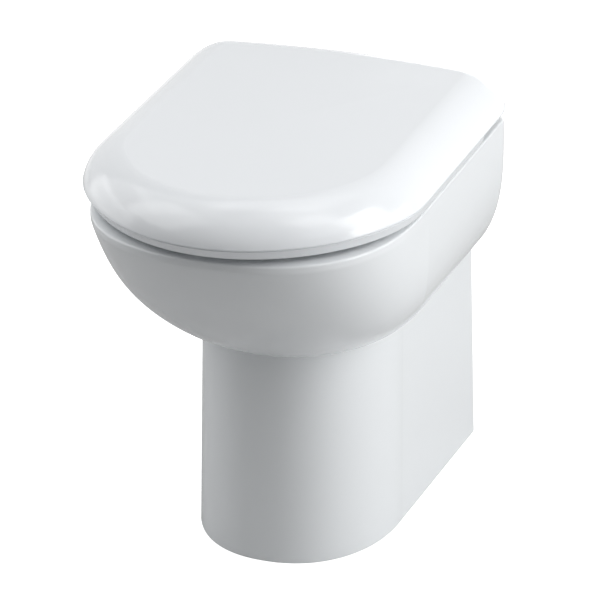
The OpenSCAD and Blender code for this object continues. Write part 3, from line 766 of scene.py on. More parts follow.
@dataclass
class Pan:
    """The china pan, with its bowl, trap, outlet, inlet and floor lugs. Millimetres."""

    shop: Workshop
    china: float = 11.0
    deck: float = 12.0
    edge: float = 1.4
    pitch: float = 3.6
    # The rim in plan: a superellipse in front, straight sides, and back corners that cut in
    rim: float = RIM
    half: float = 165.0
    front: float = 480.0
    widest: float = 293.0
    rim_across: float = 2.34
    rim_ahead: float = 2.84
    corner_in: float = 56.0
    corner_reach: float = 60.0
    corner_curve: float = 1.15
    # The rim in section: the roll, its lip, and the land that slopes up to the level top
    roll: float = 9.0
    lip: float = 2.4
    land: float = 11.0
    land_slope: float = 18.0
    level: float = 1.2
    # The pedestal, which narrows and leans back as it rises to the shelf, where the bowl starts
    shelf: float = 230.0
    foot_half: float = 105.5
    foot_front: float = 343.0
    foot_curve: float = 128.0
    foot_round: float = 2.18
    foot_spread: float = 6.0
    foot_flare: float = 2.5
    foot_lean: float = 17.0
    foot_edge: float = 1.5
    foot_land: float = 2.4
    # The bowl's swell at its sides and in front, each as the two exponents of its curve
    swell_sides: tuple[float, float] = (3.06, 1.29)
    swell_front: tuple[float, float] = (1.07, 1.49)
    swell_end: float = 0.985
    # The mouth, and where each side of it has closed in to the throat: share of the depth, and exponent
    mouth_half: float = 130.0
    mouth_front: float = 445.0
    mouth_back: float = 147.0
    mouth_round: float = 6.0
    mouth_oval: float = 2.3
    sides_close: tuple[float, float] = (0.65, 2.4)
    front_closes: tuple[float, float] = (0.57, 1.6)
    back_closes: tuple[float, float] = (0.75, 2.2)
    oval_fades: tuple[float, float] = (0.65, 2.0)
    basin_wall: float = 9.0
    basin_square: float = 5.0
    # The trap's tube, with its throat and its bends
    trap: float = 33.0
    trap_wall: float = 8.0
    bend: float = 45.0
    throat: float = 255.0
    throat_z: float = 115.0
    throat_len: float = 5.0
    # The outlet, the flush inlet and its port, the deck's holes and the lugs
    outlet: float = 51.0
    outlet_wall: float = 8.0
    outlet_z: float = 185.0
    outlet_gap: float = 60.0
    inlet: float = 27.5
    inlet_wall: float = 9.5
    inlet_z: float = 335.0
    inlet_gap: float = 45.0
    port: float = 22.0
    port_from: float = 80.0
    port_len: float = 130.0
    deck_depth: float = 134.0
    hole_x: float = BOLT_X
    hole_depth: float = BOLT_DEPTH
    hole: float = 7.5
    lug_width: float = 34.0
    lug_hole_x: float = 78.0
    lug_hole: float = 5.0
    # Half the length of the tool that cuts an upright hole
    drill_reach: float = 30.0

    @property
    def middle(self) -> float:
        """Half way between the mouth's front and back."""
        return (self.mouth_front + self.mouth_back) / 2

    @property
    def bowl_ends(self) -> tuple[float, float]:
        """The heights where the bowl's outer face starts and where the rim's roll takes over."""
        return self.shelf, self.rim - self.roll

    def rim_line(self, k: np.ndarray, inset: float) -> np.ndarray:
        """The rim's half outline in plan; k runs 0 to 1 round the front and 1 to 2 along the side.

        Args:
            k: places along it.
            inset: how far inside the rim.
        Returns:
            Points as across and from the wall.
        """
        angle = np.clip(k, 0, 1) * math.pi / 2
        side = np.clip(k - 1, 0, 1)
        corner = np.clip(1 - self.widest * (1 - side) / self.corner_reach, 0, 1)
        x = mix((self.half - inset) * power(np.sin(angle), self.rim_across),
                self.half - inset - self.corner_in * corner**self.corner_curve, k > 1)
        d = mix(self.widest + (self.front - inset - self.widest) * power(np.cos(angle), self.rim_ahead),
                self.widest * (1 - side), k > 1)
        return np.stack([x, d], axis=-1)

    def foot_line(self, k: np.ndarray, z: Number, inset: float) -> np.ndarray:
        """The pedestal's half outline in plan at a height.

        Args:
            k: places along it, as in rim_line.
            z: the height.
            inset: how far inside the pedestal's face.
        Returns:
            Points as across and from the wall.
        """
        angle = np.clip(k, 0, 1) * math.pi / 2
        side = np.clip(k - 1, 0, 1)
        half = self.foot_half - self.foot_flare * z / self.shelf - inset
        middle = self.foot_front - self.foot_lean * z / self.shelf - self.foot_curve - inset
        x = mix(half * power(np.sin(angle), self.foot_round), half + self.foot_spread * side, k > 1)
        d = mix(middle + self.foot_curve * power(np.cos(angle), self.foot_round), middle * (1 - side), k > 1)
        return np.stack([x, d], axis=-1)

    def foot_ring(self, k: np.ndarray, z: Number, inset: float) -> np.ndarray:
        """The pedestal's half outline at its height.

        Args:
            k: places along it.
            z: the height.
            inset: how far inside the pedestal's face.
        Returns:
            Points as across, from the wall and up.
        """
        return at_height(self.foot_line(k, z, inset), z)

    def swell(self, k: np.ndarray, t: Number) -> np.ndarray:
        """How far the bowl has swelled from foot to rim.

        Args:
            k: places along the outline.
            t: share of the height from shelf to rim.
        Returns:
            Share of the way from the foot outline to the rim outline.
        """
        curves = (self.swell_front, self.swell_sides)
        front, sides = ((1 - (1 - t) ** fall) ** (1 / rise) for fall, rise in curves)
        share = np.clip((self.front - self.rim_line(k, 0)[..., 1]) / (self.front - self.widest), 0, 1)
        return mix(front, sides, share)

    def bowl_face(self, k: np.ndarray, t: Number, inset: float, ends: tuple[float, float]) -> np.ndarray:
        """Points on the bowl's outer or inner face.

        Args:
            k: places along the outline, one a column.
            t: share of the height, one for all or one a place.
            inset: how far inside the outer face.
            ends: the heights where t is 0 and 1.
        Returns:
            Points as across, from the wall and up.
        """
        share = self.swell(k, t)[..., None]
        flat = mix(self.foot_line(k, self.shelf, inset), self.rim_line(k, inset), share)
        return at_height(flat, mix(*ends, t))

    def crease_size(self, k: np.ndarray) -> np.ndarray:
        """How soft the line is where the bowl leaves the pedestal: tight in front, softer behind.

        Args:
            k: places along the outline.
        Returns:
            Its reach at each place.
        """
        tight, soft = 2.6, 13.0
        begins, spreads, curve = 0.55, 0.9, 1.3
        return mix(tight, soft, np.clip((k - begins) / spreads, 0, 1) ** curve)

    def pedestal_rows(self, k: np.ndarray) -> list[np.ndarray]:
        """The half outer face from under the foot, round its edge and up to the crease.

        Args:
            k: places along the outline.
        Returns:
            Rows of points, floor first.
        """
        rows = [self.foot_ring(k, 0.0, inset) for inset in (self.china, self.china / 2, self.foot_land)]
        edge = self.foot_edge
        for a in np.radians(np.linspace(0, 90, 6)):
            rows.append(self.foot_ring(k, edge * (1 - math.cos(a)), edge * (1 - math.sin(a))))
        start, top = rows[-1], self.foot_ring(k, self.shelf - self.crease_size(k), 0.0)
        return rows + [mix(start, top, s) for s in np.linspace(0, 1, 26)[1:]]

    def crease_start(self, k: np.ndarray) -> np.ndarray:
        """Where on the bowl's face the soft crease ends, measured along the face.

        Args:
            k: places along the outline.
        Returns:
            Share of the height at each place.
        """
        dense = (np.linspace(0, 1, 400) ** 2)[:, None] * np.ones_like(k)
        faces = self.bowl_face(k + 0 * dense, dense, 0.0, self.bowl_ends)
        run = np.cumsum(np.linalg.norm(np.diff(faces, axis=0), axis=-1), axis=0)
        softness = self.crease_size(k)
        return np.array([np.interp(softness[i], np.concatenate([[0], run[:, i]]), dense[:, i])
                         for i in range(len(k))])

    def bowl_rows(self, k: np.ndarray, under: np.ndarray) -> list[np.ndarray]:
        """The half outer face from the crease over the bowl to the rim's roll.

        Args:
            k: places along the outline.
            under: the row just below the crease.
        Returns:
            Rows of points, lowest first.
        """
        begin = self.crease_start(k)
        above = self.bowl_face(k, begin, 0.0, self.bowl_ends)
        crease = [under, self.foot_ring(k, self.shelf, 0.0), above]
        rows = [bezier(crease, s) for s in np.linspace(0, 1, 11)[1:]]
        for s in np.linspace(0, 1, 54)[1:] ** 1.5:
            rows.append(self.bowl_face(k, mix(begin, self.swell_end, s), 0.0, self.bowl_ends))
        return rows

    def brim_rows(self, k: np.ndarray, last: np.ndarray) -> list[np.ndarray]:
        """The half outer face from the bowl round the roll and its lip, and in over the land.

        Args:
            k: places along the outline.
            last: the row below.
        Returns:
            Rows of points, lowest first.
        """
        step, pull = 0.004, 0.4
        lean = last - self.bowl_face(k, self.swell_end - step + 0 * k, 0.0, self.bowl_ends)
        lean /= np.linalg.norm(lean, axis=-1, keepdims=True)
        slope = math.radians(self.land_slope)
        inset = self.lip * (1 - math.sin(slope))
        rise = 0.5 * math.tan(slope) * (self.land - inset)
        low = self.rim - rise - self.lip * math.cos(slope)
        edge = at_height(self.rim_line(k, 0), low)
        reach = pull * (low - last[0, 2])
        roll = [last, last + lean * reach, edge - [0, 0, reach], edge]
        shares = np.linspace(0, 1, 9)[1:]
        rows = [bezier(roll, s) for s in shares]
        turns = shares * (math.pi / 2 - slope)
        steps = [(self.lip * (1 - math.cos(a)), low + self.lip * math.sin(a)) for a in turns]
        steps += [(mix(inset, self.land, s), self.rim - rise * (1 - s) ** 2) for s in shares]
        steps.append((self.land + self.level, self.rim))
        return rows + [at_height(self.rim_line(k, i), z) for i, z in steps]

    def outer_face(self, k: np.ndarray) -> np.ndarray:
        """The half outer face from the edge on the floor, up the pedestal, over the bowl and the rim.

        Args:
            k: places along the outline.
        Returns:
            Rows of points, floor first.
        """
        rows = self.pedestal_rows(k)
        rows += self.bowl_rows(k, rows[-1])
        return np.stack(rows + self.brim_rows(k, rows[-1]))

    def inner_face(self, k: np.ndarray) -> np.ndarray:
        """The half inner face of the skirt, from under the deck to the floor.

        Args:
            k: places along the outline.
        Returns:
            Rows of points, deck first.
        """
        ends = (self.shelf + self.china, self.rim - self.deck)
        rows = [self.bowl_face(k, t + 0 * k, self.china, ends) for t in np.linspace(1, 0, 30) ** 1.5]
        floor = self.foot_ring(k, 0.0, self.china)
        return np.stack(rows + [mix(rows[-1], floor, s) for s in np.linspace(0, 1, 16)[1:]])

    @staticmethod
    def egg(a: np.ndarray, half: float, depths: Place, ovals: tuple[float, float]) -> np.ndarray:
        """An egg-shaped loop.

        Args:
            a: angles, 0 at the front and half a turn at the back, signed by side.
            half: its half width.
            depths: how far from the wall its front is, its widest place and its back.
            ovals: exponents of its front and of its back.
        Returns:
            Points as across and from the wall.
        """
        ahead, sine = np.cos(a) >= 0, np.abs(np.sin(a))
        front, middle, back = depths
        x = np.sign(a) * half * np.where(ahead, *(power(sine, e) for e in ovals))
        d = middle + np.where(ahead, (front - middle) * power(np.cos(a), ovals[0]),
                              -(middle - back) * power(-np.cos(a), ovals[1]))
        return np.stack([x, d], axis=-1)

    def fade(self, z: float, closes: tuple[float, float]) -> float:
        """How much of the mouth's shape is left at a height.

        Args:
            z: the height.
            closes: the share of the depth at which nothing is left, and the curve's exponent.
        Returns:
            1 at the rim, 0 in the throat.
        """
        end, exponent = closes
        u = min((self.rim - z) / (self.rim - self.throat_z), 1.0)
        return 0.0 if u >= end else 1 - (u / end) ** exponent

    def bowl_inside(self, a: np.ndarray, z: float, grow_by: float = 0.0) -> np.ndarray:
        """The bowl's inside at a height.

        Args:
            a: angles round the loop.
            z: the height.
            grow_by: how far the loop is widened, for the rounded mouth.
        Returns:
            Points as across, from the wall and up.
        """
        ends = (self.sides_close, self.front_closes, self.back_closes)
        sides, ahead, behind = (self.fade(z, end) for end in ends)
        oval = mix(2.0, self.mouth_oval, self.fade(z, self.oval_fades))
        depths = (mix(self.throat + self.trap, self.mouth_front, ahead) + grow_by,
                  mix(self.throat, self.middle, ahead),
                  mix(self.throat - self.trap, self.mouth_back, behind) - grow_by)
        half = mix(self.trap, self.mouth_half, sides) + grow_by
        return at_height(self.egg(a, half, depths, (oval, oval)), z)

    def bowl_outside(self, a: np.ndarray, z: float) -> np.ndarray:
        """The basin's outside at a height: its back stays upright down to below the flush inlet.

        Args:
            a: angles round the loop.
            z: the height.
        Returns:
            Points as across, from the wall and up.
        """
        clear = 3.0
        upright_to = self.inlet_z - self.inlet - self.inlet_wall - clear
        closed_at = self.rim - self.back_closes[0] * (self.rim - self.throat_z)
        s = min(max((upright_to - z) / (upright_to - closed_at), 0.0), 1.0)
        outer = self.trap + self.trap_wall
        ahead = self.fade(z, self.front_closes)
        half = mix(outer, self.mouth_half + self.basin_wall, self.fade(z, self.sides_close))
        depths = (mix(self.throat + outer, self.mouth_front + self.basin_wall, ahead),
                  mix(self.throat, self.middle, ahead), mix(self.deck_depth, self.throat - outer, s**1.5))
        oval = mix(2.0, self.mouth_oval, self.fade(z, self.oval_fades))
        return at_height(self.egg(a, half, depths, (oval, mix(self.basin_square, 2.0, s**0.7))), z)

    @staticmethod
    def closed(run: np.ndarray) -> np.ndarray:
        """Closes a run along the wall face, from the right back corner to the left.

        Args:
            run: points from the left back corner round the front to the right one.
        Returns:
            The closed loop.
        """
        back = [mix(run[-1], run[0], s) for s in np.linspace(0, 1, 65)[1:-1]]
        return np.vstack([run, back])

    def waterway(self, angles: np.ndarray) -> np.ndarray:
        """The bowl's inside from the rim down to the throat, and back up its outside to the deck.

        Args:
            angles: places round the bowl.
        Returns:
            Rows of closed loops.
        """
        rows = []
        for b in np.radians(np.linspace(0, 90, 9)):
            grown = self.bowl_inside(angles, self.rim, self.mouth_round * (1 - math.sin(b)))
            rows.append(at_height(grown[:, :2], self.rim - self.mouth_round * (1 - math.cos(b))))
        down = np.linspace(0, 1, 74)[1:] ** 1.15
        rows += [self.bowl_inside(angles, z) for z in mix(self.rim - self.mouth_round, self.throat_z, down)]
        rows += [self.bowl_outside(angles, z) for z in np.linspace(self.throat_z, self.rim - self.deck, 60)]
        return np.stack(rows)

    def china_body(self) -> bpy.types.Object:
        """The glazed body: skirt, bowl, rim and deck as one casting.

        Returns:
            The finished piece.
        """
        k = np.concatenate([evenly(lambda v: self.rim_line(v, 0), 0, 1, self.pitch),
                            evenly(lambda v: self.rim_line(v, 0), 1, 2, self.pitch)[1:]])
        outer, inner = both_sides(self.outer_face(k)), both_sides(self.inner_face(k))
        brim, under = self.closed(outer[-1]), self.closed(inner[0])
        angles = self.matching(brim)
        mouth = self.bowl_inside(angles, self.rim, self.mouth_round)
        water = self.waterway(angles)
        solid = self.shop.solid().patch(outer).patch(inner)
        rim_top, deck_under = (0, 0.05, 0.3, 0.6, 0.9, 1), (0, 0.1, 0.5, 0.9, 1)
        solid.patch(np.stack([mix(brim, mouth, s) for s in rim_top]), around=True)
        solid.patch(water, around=True)
        solid.patch(np.stack([mix(water[-1], under, s) for s in deck_under]), around=True)
        back_top, back_under = brim[len(outer[-1]) :], under[len(inner[0]) :]
        solid.sheet(self.without_repeats(np.vstack([
            outer[:, 0], back_top[::-1], outer[::-1, -1], inner[::-1, -1], back_under, inner[:, 0]])))
        piece = solid.build("pan_china", bevel=self.edge)
        start = (0, self.port_from, self.inlet_z)
        tools = [self.drill("port_tool", self.port, start, Axis.DEPTH, self.port_len)]
        for side, _ in SIDES:
            start = (side * self.hole_x, self.hole_depth, self.rim - self.drill_reach)
            tools.append(self.drill("hole_tool", self.hole, start, Axis.UP, 2 * self.drill_reach))
        return weighted(drilled(piece, tools))

    def matching(self, loop: np.ndarray) -> np.ndarray:
        """Finds the bowl angles that face each point of a loop.

        Args:
            loop: the outer loop's points.
        Returns:
            The angles, signed by side.
        """
        bearing = np.arctan2(loop[:, 0], loop[:, 1] - self.middle)
        dense = np.linspace(1e-6, math.pi, 4000)
        mouth = self.bowl_inside(dense, self.rim)
        facing = np.arctan2(mouth[:, 0], mouth[:, 1] - self.middle)
        return np.sign(bearing + 1e-12) * np.interp(np.abs(bearing), facing, dense)

    @staticmethod
    def without_repeats(loop: np.ndarray) -> np.ndarray:
        """Leaves out points that repeat the one before.

        Args:
            loop: a closed loop.
        Returns:
            The loop with each point once.
        """
        return loop[np.linalg.norm(loop - np.roll(loop, 1, axis=0), axis=1) > WELD]

    def drill(self, name: str, radius: float, start: Place, axis: Axis, length: float) -> bpy.types.Object:
        """A round tool for a hole. Its surface isn't joined along one line.

        Args:
            name: the tool's name.
            radius: its radius.
            start: where it starts.
            axis: which way it runs.
            length: its length.
        Returns:
            The tool.
        """
        grid = turned([(0, 0), (radius, 0), (radius, length), (0, length)], start, axis, 72)
        return self.shop.solid().patch(grid).build(name)

    def trapway(self) -> bpy.types.Object:
        """The trap's tube, from the throat round the low bend, up, and over to the outlet.

        Returns:
            The finished piece.
        """
        bend, low, high = self.bend, self.throat_z - self.throat_len, self.outlet_z - self.bend
        rise = self.throat - 2 * bend
        path = [(self.throat, self.throat_z, 0.0), (self.throat, low, 0.0)]
        for a in np.radians(np.linspace(0, 180, 37)[1:]):
            path.append((mix(rise, self.throat, (1 + math.cos(a)) / 2), low - bend * math.sin(a), a))
        path.append((rise, high, math.pi))
        for a in np.radians(np.linspace(0, 90, 19)[1:]):
            path.append((rise - bend * (1 - math.cos(a)), high + bend * math.sin(a), math.pi - a))
        around = np.linspace(0, 2 * math.pi, 64, endpoint=False)

        def ring(step: Place, radius: float) -> np.ndarray:
            """A ring of the tube, across its path.

            Args:
                step: the path's place from the wall, its height and its turn.
                radius: the ring's radius.
            Returns:
                The ring's points.
            """
            d, z, turn = step
            across, reach = radius * np.sin(around), radius * np.cos(around)
            return np.column_stack([across, d + reach * math.cos(turn), z - reach * math.sin(turn)])

        outer = [ring(p, self.trap + self.trap_wall) for p in path]
        inner = [ring(p, self.trap) for p in path[::-1]]
        solid = self.shop.solid().patch(np.stack(outer + inner), around=True, loop=True)
        return weighted(solid.build("trap_china", bevel=0.8))

    def spigot(self) -> bpy.types.Object:
        """The soil outlet's spigot, from the trap's end back towards the wall.

        Returns:
            The finished piece.
        """
        begin = self.throat - 3 * self.bend
        reach = begin - self.outlet_gap
        bore = self.outlet - self.outlet_wall
        shoulder, taper = 10, 20
        flat = rounded([(self.trap, 0), (self.trap + self.trap_wall, 0), (self.outlet, shoulder),
                        (self.outlet, reach), (bore, reach), (bore, taper)], 1.5) * [1, -1]
        start = (0, begin, self.outlet_z)
        return weighted(self.shop.lathe("outlet_china", flat, start, Axis.DEPTH, 80, bored=True))

    def inlet_socket(self) -> bpy.types.Object:
        """The flush inlet's socket.

        Returns:
            The finished piece.
        """
        outer, length = self.inlet + self.inlet_wall, self.deck_depth - self.inlet_gap
        flat = rounded([(self.inlet, 0), (outer, 0), (outer, length), (self.inlet, length)], 1.8) * [1, -1]
        start = (0, self.deck_depth, self.inlet_z)
        return weighted(self.shop.lathe("inlet_china", flat, start, Axis.DEPTH, 72, bored=True))

    def lugs(self) -> bpy.types.Object:
        """The two floor-fixing lugs inside the skirt.

        Returns:
            The finished piece.
        """
        low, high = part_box("floor_lugs")
        solid, tools = self.shop.solid(), []
        near, far = self.shop.wall - high.y / MM, self.shop.wall - low.y / MM
        outer, top = high.x / MM, high.z / MM
        profile = rounded([(near, 0), (far, 0), (far, top), (near, top)], 3)
        for side, _ in SIDES:
            solid.prism(profile, outer - self.lug_width if side > 0 else -outer, self.lug_width)
            start = (side * self.lug_hole_x, self.hole_depth, -self.lug_hole)
            tools.append(self.drill("lug_tool", self.lug_hole, start, Axis.UP, 2 * self.drill_reach))
        return weighted(drilled(solid.build("lug_china", bevel=1.2), tools))

    def build(self) -> None:
        """Builds and dresses the pan."""
        glaze = (Surface.CHINA, "pan", "china")
        self.shop.dress(self.china_body(), *glaze, "pan_shell", "pan_basin", "pan_deck")
        self.shop.dress(self.trapway(), *glaze, "trap_bend", "trap_riser")
        self.shop.dress(self.spigot(), *glaze, "outlet_spigot")
        self.shop.dress(self.inlet_socket(), *glaze, "flush_inlet")
        self.shop.dress(self.lugs(), *glaze, "floor_lugs")


# ---------------------------------------------------------------- the seat's fixings


@dataclass
class Fixings:
    """What holds the seat's hinges to the deck: plates, shouldered studs, bushes, washers and nuts."""

    shop: Workshop
    across: float = BOLT_X
    depth: float = BOLT_DEPTH
    rim: float = RIM
    plate: float = 16.0
    plate_t: float = 4.0
    bolt: float = 4.0
    bolt_gap: float = 0.1
    bolt_tail: float = 15.0
    thread_turns: float = 22.0
    thread_len: float = 28.0
    thread_wire: float = 0.34
    thread_sunk: float = 0.28
    stud: float = 5.0
    stud_h: float = 15.5
    stud_waist: float = 4.2
    bush: float = 7.4
    bush_len: float = 24.0
    washer: float = 10.5
    washer_t: float = 2.0
    nut: float = 8.0
    nut_h: float = 7.0
    nut_chamfer: float = 0.9

    def nut_shape(self) -> np.ndarray:
        """A six-sided nut with chamfered corners.

        Returns:
            Its rings, as a closed loop of rings round the bore.
        """
        angle = np.linspace(0, 2 * math.pi, 96, endpoint=False)
        flat = self.nut * math.cos(math.pi / 6)
        six = flat / np.cos((angle + math.pi / 6) % (math.pi / 3) - math.pi / 6)
        face, bore, top = flat * 0.98 + 0 * angle, self.bolt + 0.05 + 0 * angle, self.nut_h
        entry = self.bolt + 0.6 + 0 * angle
        steps = [(entry, 0), (face, 0), (six, self.nut_chamfer), (six, top - self.nut_chamfer), (face, top),
                 (entry, top), (bore, top - 0.6), (bore, 0.6)]
        out = np.column_stack([np.cos(angle), np.sin(angle)])
        return np.stack([at_height(radius[:, None] * out, z) for radius, z in steps])

    def stud_profile(self, tail: float) -> np.ndarray:
        """The stud in section: threaded shank, shoulder on the plate, and a grooved head.

        Args:
            tail: the height of the shank's lower end.
        Returns:
            Points as radius and height.
        """
        foot = self.rim + self.plate_t
        top = foot + self.stud_h
        return rounded([(0, tail), (self.bolt - 0.6, tail), (self.bolt, tail + 0.8), (self.bolt, foot),
                        (self.stud, foot), (self.stud, foot + 4), (self.stud_waist, foot + 5),
                        (self.stud_waist, foot + 8), (self.stud, foot + 9), (self.stud, top - 1),
                        (self.stud - 1, top), (0, top)], 0.35, closed=False)

    def build(self) -> None:
        """Builds and dresses the fixings."""
        low = self.rim - self.bush_len
        tail, bore = low - self.bolt_tail, self.bolt + self.bolt_gap
        plate = rounded([(bore, 0), (self.plate, 0), (self.plate, self.plate_t - 1.2),
                         (self.plate - 2.5, self.plate_t), (bore, self.plate_t)], 0.5)
        steel = (Surface.STEEL, "pan", "steel")
        for side, label in SIDES:
            spot = (side * self.across, self.depth)
            piece = self.shop.lathe(f"plate_{label}", plate, (*spot, self.rim), Axis.UP, 96, bored=True)
            self.shop.dress(piece, *steel, f"base_plate_{label}")
            piece = self.shop.lathe(f"hinge_stud_{label}", self.stud_profile(tail), (*spot, 0), Axis.UP, 48)
            self.shop.dress(piece, *steel, f"stud_{label}")
            thread = self.shop.wound(f"stud_thread_{label}", self.bolt - self.thread_sunk, self.thread_turns,
                                     self.thread_len, self.thread_wire, (*spot, tail + 1), (0, 0, 0),
                                     Surface.STEEL)
            self.shop.dress(thread, *steel)
        bush = [(bore, 0), (self.bush, 0), (self.bush, self.bush_len), (bore, self.bush_len)]
        self.rings("bush_set", bush, 0.5, low, Surface.RUBBER, "rubber", "fixing_bushes")
        washer = [(bore, -self.washer_t), (self.washer, -self.washer_t), (self.washer, 0), (bore, 0)]
        self.rings("washer_set", washer, 0.4, low, Surface.STEEL, "steel", "fixing_washers")
        nut = self.shop.solid(at_origin=True).patch(self.nut_shape(), around=True, loop=True)
        lowest = low - self.washer_t - self.nut_h
        nuts = self.shop.at_spots("nut_set", nut.build("nut", bevel=0.2, sharp=20),
                                  mirrored([(self.across, self.depth)], lowest), 1.0, Surface.STEEL)
        smooth(nuts, 25)
        self.shop.dress(nuts, *steel, "fixing_nuts")

    def rings(self, name: str, profile: Profile, radius: float, z: float, surface: Surface, slot: str,
              node: str) -> None:
        """Turns a ring and sets one on each bolt.

        Args:
            name: the new object's name.
            profile: the ring's profile.
            radius: the rounding of its corners.
            z: how high the rings are.
            surface: their finish.
            slot: the record's slot.
            node: the CAD node that they stand for.
        """
        one = self.shop.lathe(name + "_one", rounded(profile, radius), (0, 0, 0), Axis.UP, 64, bored=True,
                              at_origin=True)
        both = self.shop.at_spots(name, one, mirrored([(self.across, self.depth)], z), 0.0, surface)
        self.shop.dress(both, surface, "pan", slot, node)


# ---------------------------------------------------------------- the hinges


@dataclass
class Hinges:
    """The lift-off hinge blocks, their dampers and pins, the wings, the release buttons and springs."""

    shop: Workshop
    across: float = BOLT_X
    depth: float = BOLT_DEPTH
    # The pivot line as distance from the wall and height
    line: tuple[float, float] = (58.0, 428.0)
    barrel: float = 8.0
    damper: float = 5.45
    damper_len: float = 24.0
    pin_len: float = 7.0
    sunk: float = 1.0
    shaft: float = 4.0
    bore_gap: float = 0.05
    width: float = 35.0
    wing: float = 18.0
    gap: float = 2.0
    soft: float = 2.5
    button: float = 4.4
    button_z: float = 411.0
    button_len: float = 9.5
    button_skin: float = 3.0
    button_bore: float = 3.0
    travel: float = 2.5
    coil: float = 2.25
    coil_turns: float = 4.0
    wire: float = 0.45

    def knuckle(self, start: float, end: float) -> list:
        """The back of a barrel in a profile.

        Args:
            start: first angle in degrees.
            end: last angle in degrees.
        Returns:
            The arc's points.
        """
        return arc(self.line, self.barrel, start, end, 30)

    def arm(self, name: str, profile: Profile, start: float, width: float, side: int, shaft: float,
            edge: float) -> bpy.types.Object:
        """A profile carried across, with its barrel bored.

        Args:
            name: the object's name.
            profile: depth and height points.
            start: where it starts across, on the right.
            width: its width.
            side: -1 for left, 1 for right.
            shaft: radius of what turns in the barrel.
            edge: rounding of its edges.
        Returns:
            The finished piece.
        """
        x0 = start if side > 0 else -start - width
        solid = self.shop.solid().prism(rounded(profile, self.soft), x0, width)
        bore = shaft + self.bore_gap
        rod = [(0, 0), (bore, 0), (bore, width + 4), (0, width + 4)]
        tool = self.shop.lathe("bore_tool", rod, (x0 - 2, *self.line), Axis.ACROSS, 56)
        return drilled(solid.build(name, bevel=edge, sharp=35), [tool], 35)

    def shaft_piece(self, name: str, x0: float, out: int, length: float) -> bpy.types.Object:
        """A hinge shaft with its wider body.

        Args:
            name: the object's name.
            x0: where the body starts across.
            out: 1 if it points to the right, -1 if to the left.
            length: the body's length.
        Returns:
            The finished piece.
        """
        reach = length + self.gap + self.wing
        flat = rounded([(0, 0), (self.damper, 0), (self.damper, length), (self.shaft, length),
                        (self.shaft, reach - 0.5), (self.shaft - 0.5, reach), (0, reach)], 0.35, closed=False)
        return self.shop.lathe(name, flat * [1, out], (x0, *self.line), Axis.ACROSS, 48)

    def build(self) -> None:
        """Builds and dresses the hinges.

        The profiles give distance from the wall and height, with an arc round the barrel's back.
        """
        inner, outer = self.across - self.width / 2, self.across + self.width / 2
        block = [(70, 404.3), (93, 404.3), (93, 421), (67.5, 433), *self.knuckle(55, 300), (70, 415)]
        lid = [(66.5, 425.5), (90, 447.5), (117, 447.5), (117, 451), (82, 451), (71, 445),
               *self.knuckle(75, 335)]
        seat = [(118, 406), (160, 406), (160, 410), (121, 410), (121, 411), (67, 433.5),
                *self.knuckle(60, 290)]
        wings = (("lid", lid, inner - self.gap - self.wing), ("seat", seat, outer + self.gap))
        for side, label in SIDES:
            piece = self.arm(f"block_{label}", block, inner, self.width, side, self.damper, 1)
            self.shop.dress(piece, Surface.CHROME, "hinge_carriage", "chrome", f"hinge_block_{label}")
            for name, profile, start in wings:
                piece = self.arm(f"{name}_arm_{label}", profile, start, self.wing, side, self.shaft, 0.6)
                self.shop.dress(piece, Surface.CHROME, name, "chrome", f"{name}_wing_{label}")
            self.release(side, label, inner)
        in_block, in_pin = self.sunk + self.damper_len, self.sunk + self.pin_len
        for node, x0, out, length in (("damper_lid", -inner - in_block, 1, self.damper_len),
                                      ("damper_seat", outer - in_block, 1, self.damper_len),
                                      ("pin_lid", inner + in_pin, -1, self.pin_len),
                                      ("pin_seat", -outer + in_pin, -1, self.pin_len)):
            damped = node.startswith("damper")
            surface, slot = (Surface.NYLON, "nylon") if damped else (Surface.STEEL, "steel")
            piece = self.shaft_piece(node + "_turned", x0, out, length)
            self.shop.dress(piece, surface, "hinge_carriage", slot, node)

    def release(self, side: int, label: str, inner: float) -> None:
        """A release button with its return spring.

        Args:
            side: -1 for left, 1 for right.
            label: left or right.
            inner: where the block's inner face is.
        """
        length, skin, bore = self.button_len, self.button_skin, self.button_bore
        flat = rounded([(0, 0), (self.button, 0), (self.button, length), (bore, length), (bore, skin),
                        (0, skin)], 0.7, closed=False) * [1, side]
        start = (side * (inner - self.travel), self.depth, self.button_z)
        cap = self.shop.lathe(f"button_{label}_cap", flat, start, Axis.ACROSS, 56)
        self.shop.dress(cap, Surface.BUTTON, f"button_{label}", "button", f"release_button_{label}")
        # The spring lies between the button's bore and the web in the block's middle
        clear, web = 0.3, 6.5
        start = (side * (inner + skin + clear + self.wire), self.depth, self.button_z)
        coil = self.shop.wound(f"coil_{label}", self.coil, self.coil_turns,
                               self.width / 2 - web - skin - clear, self.wire, start,
                               (0, side * math.pi / 2, 0), Surface.STEEL)
        self.shop.dress(coil, Surface.STEEL, "hinge_carriage", "steel", f"spring_{label}")


# ---------------------------------------------------------------- the seat and the lid


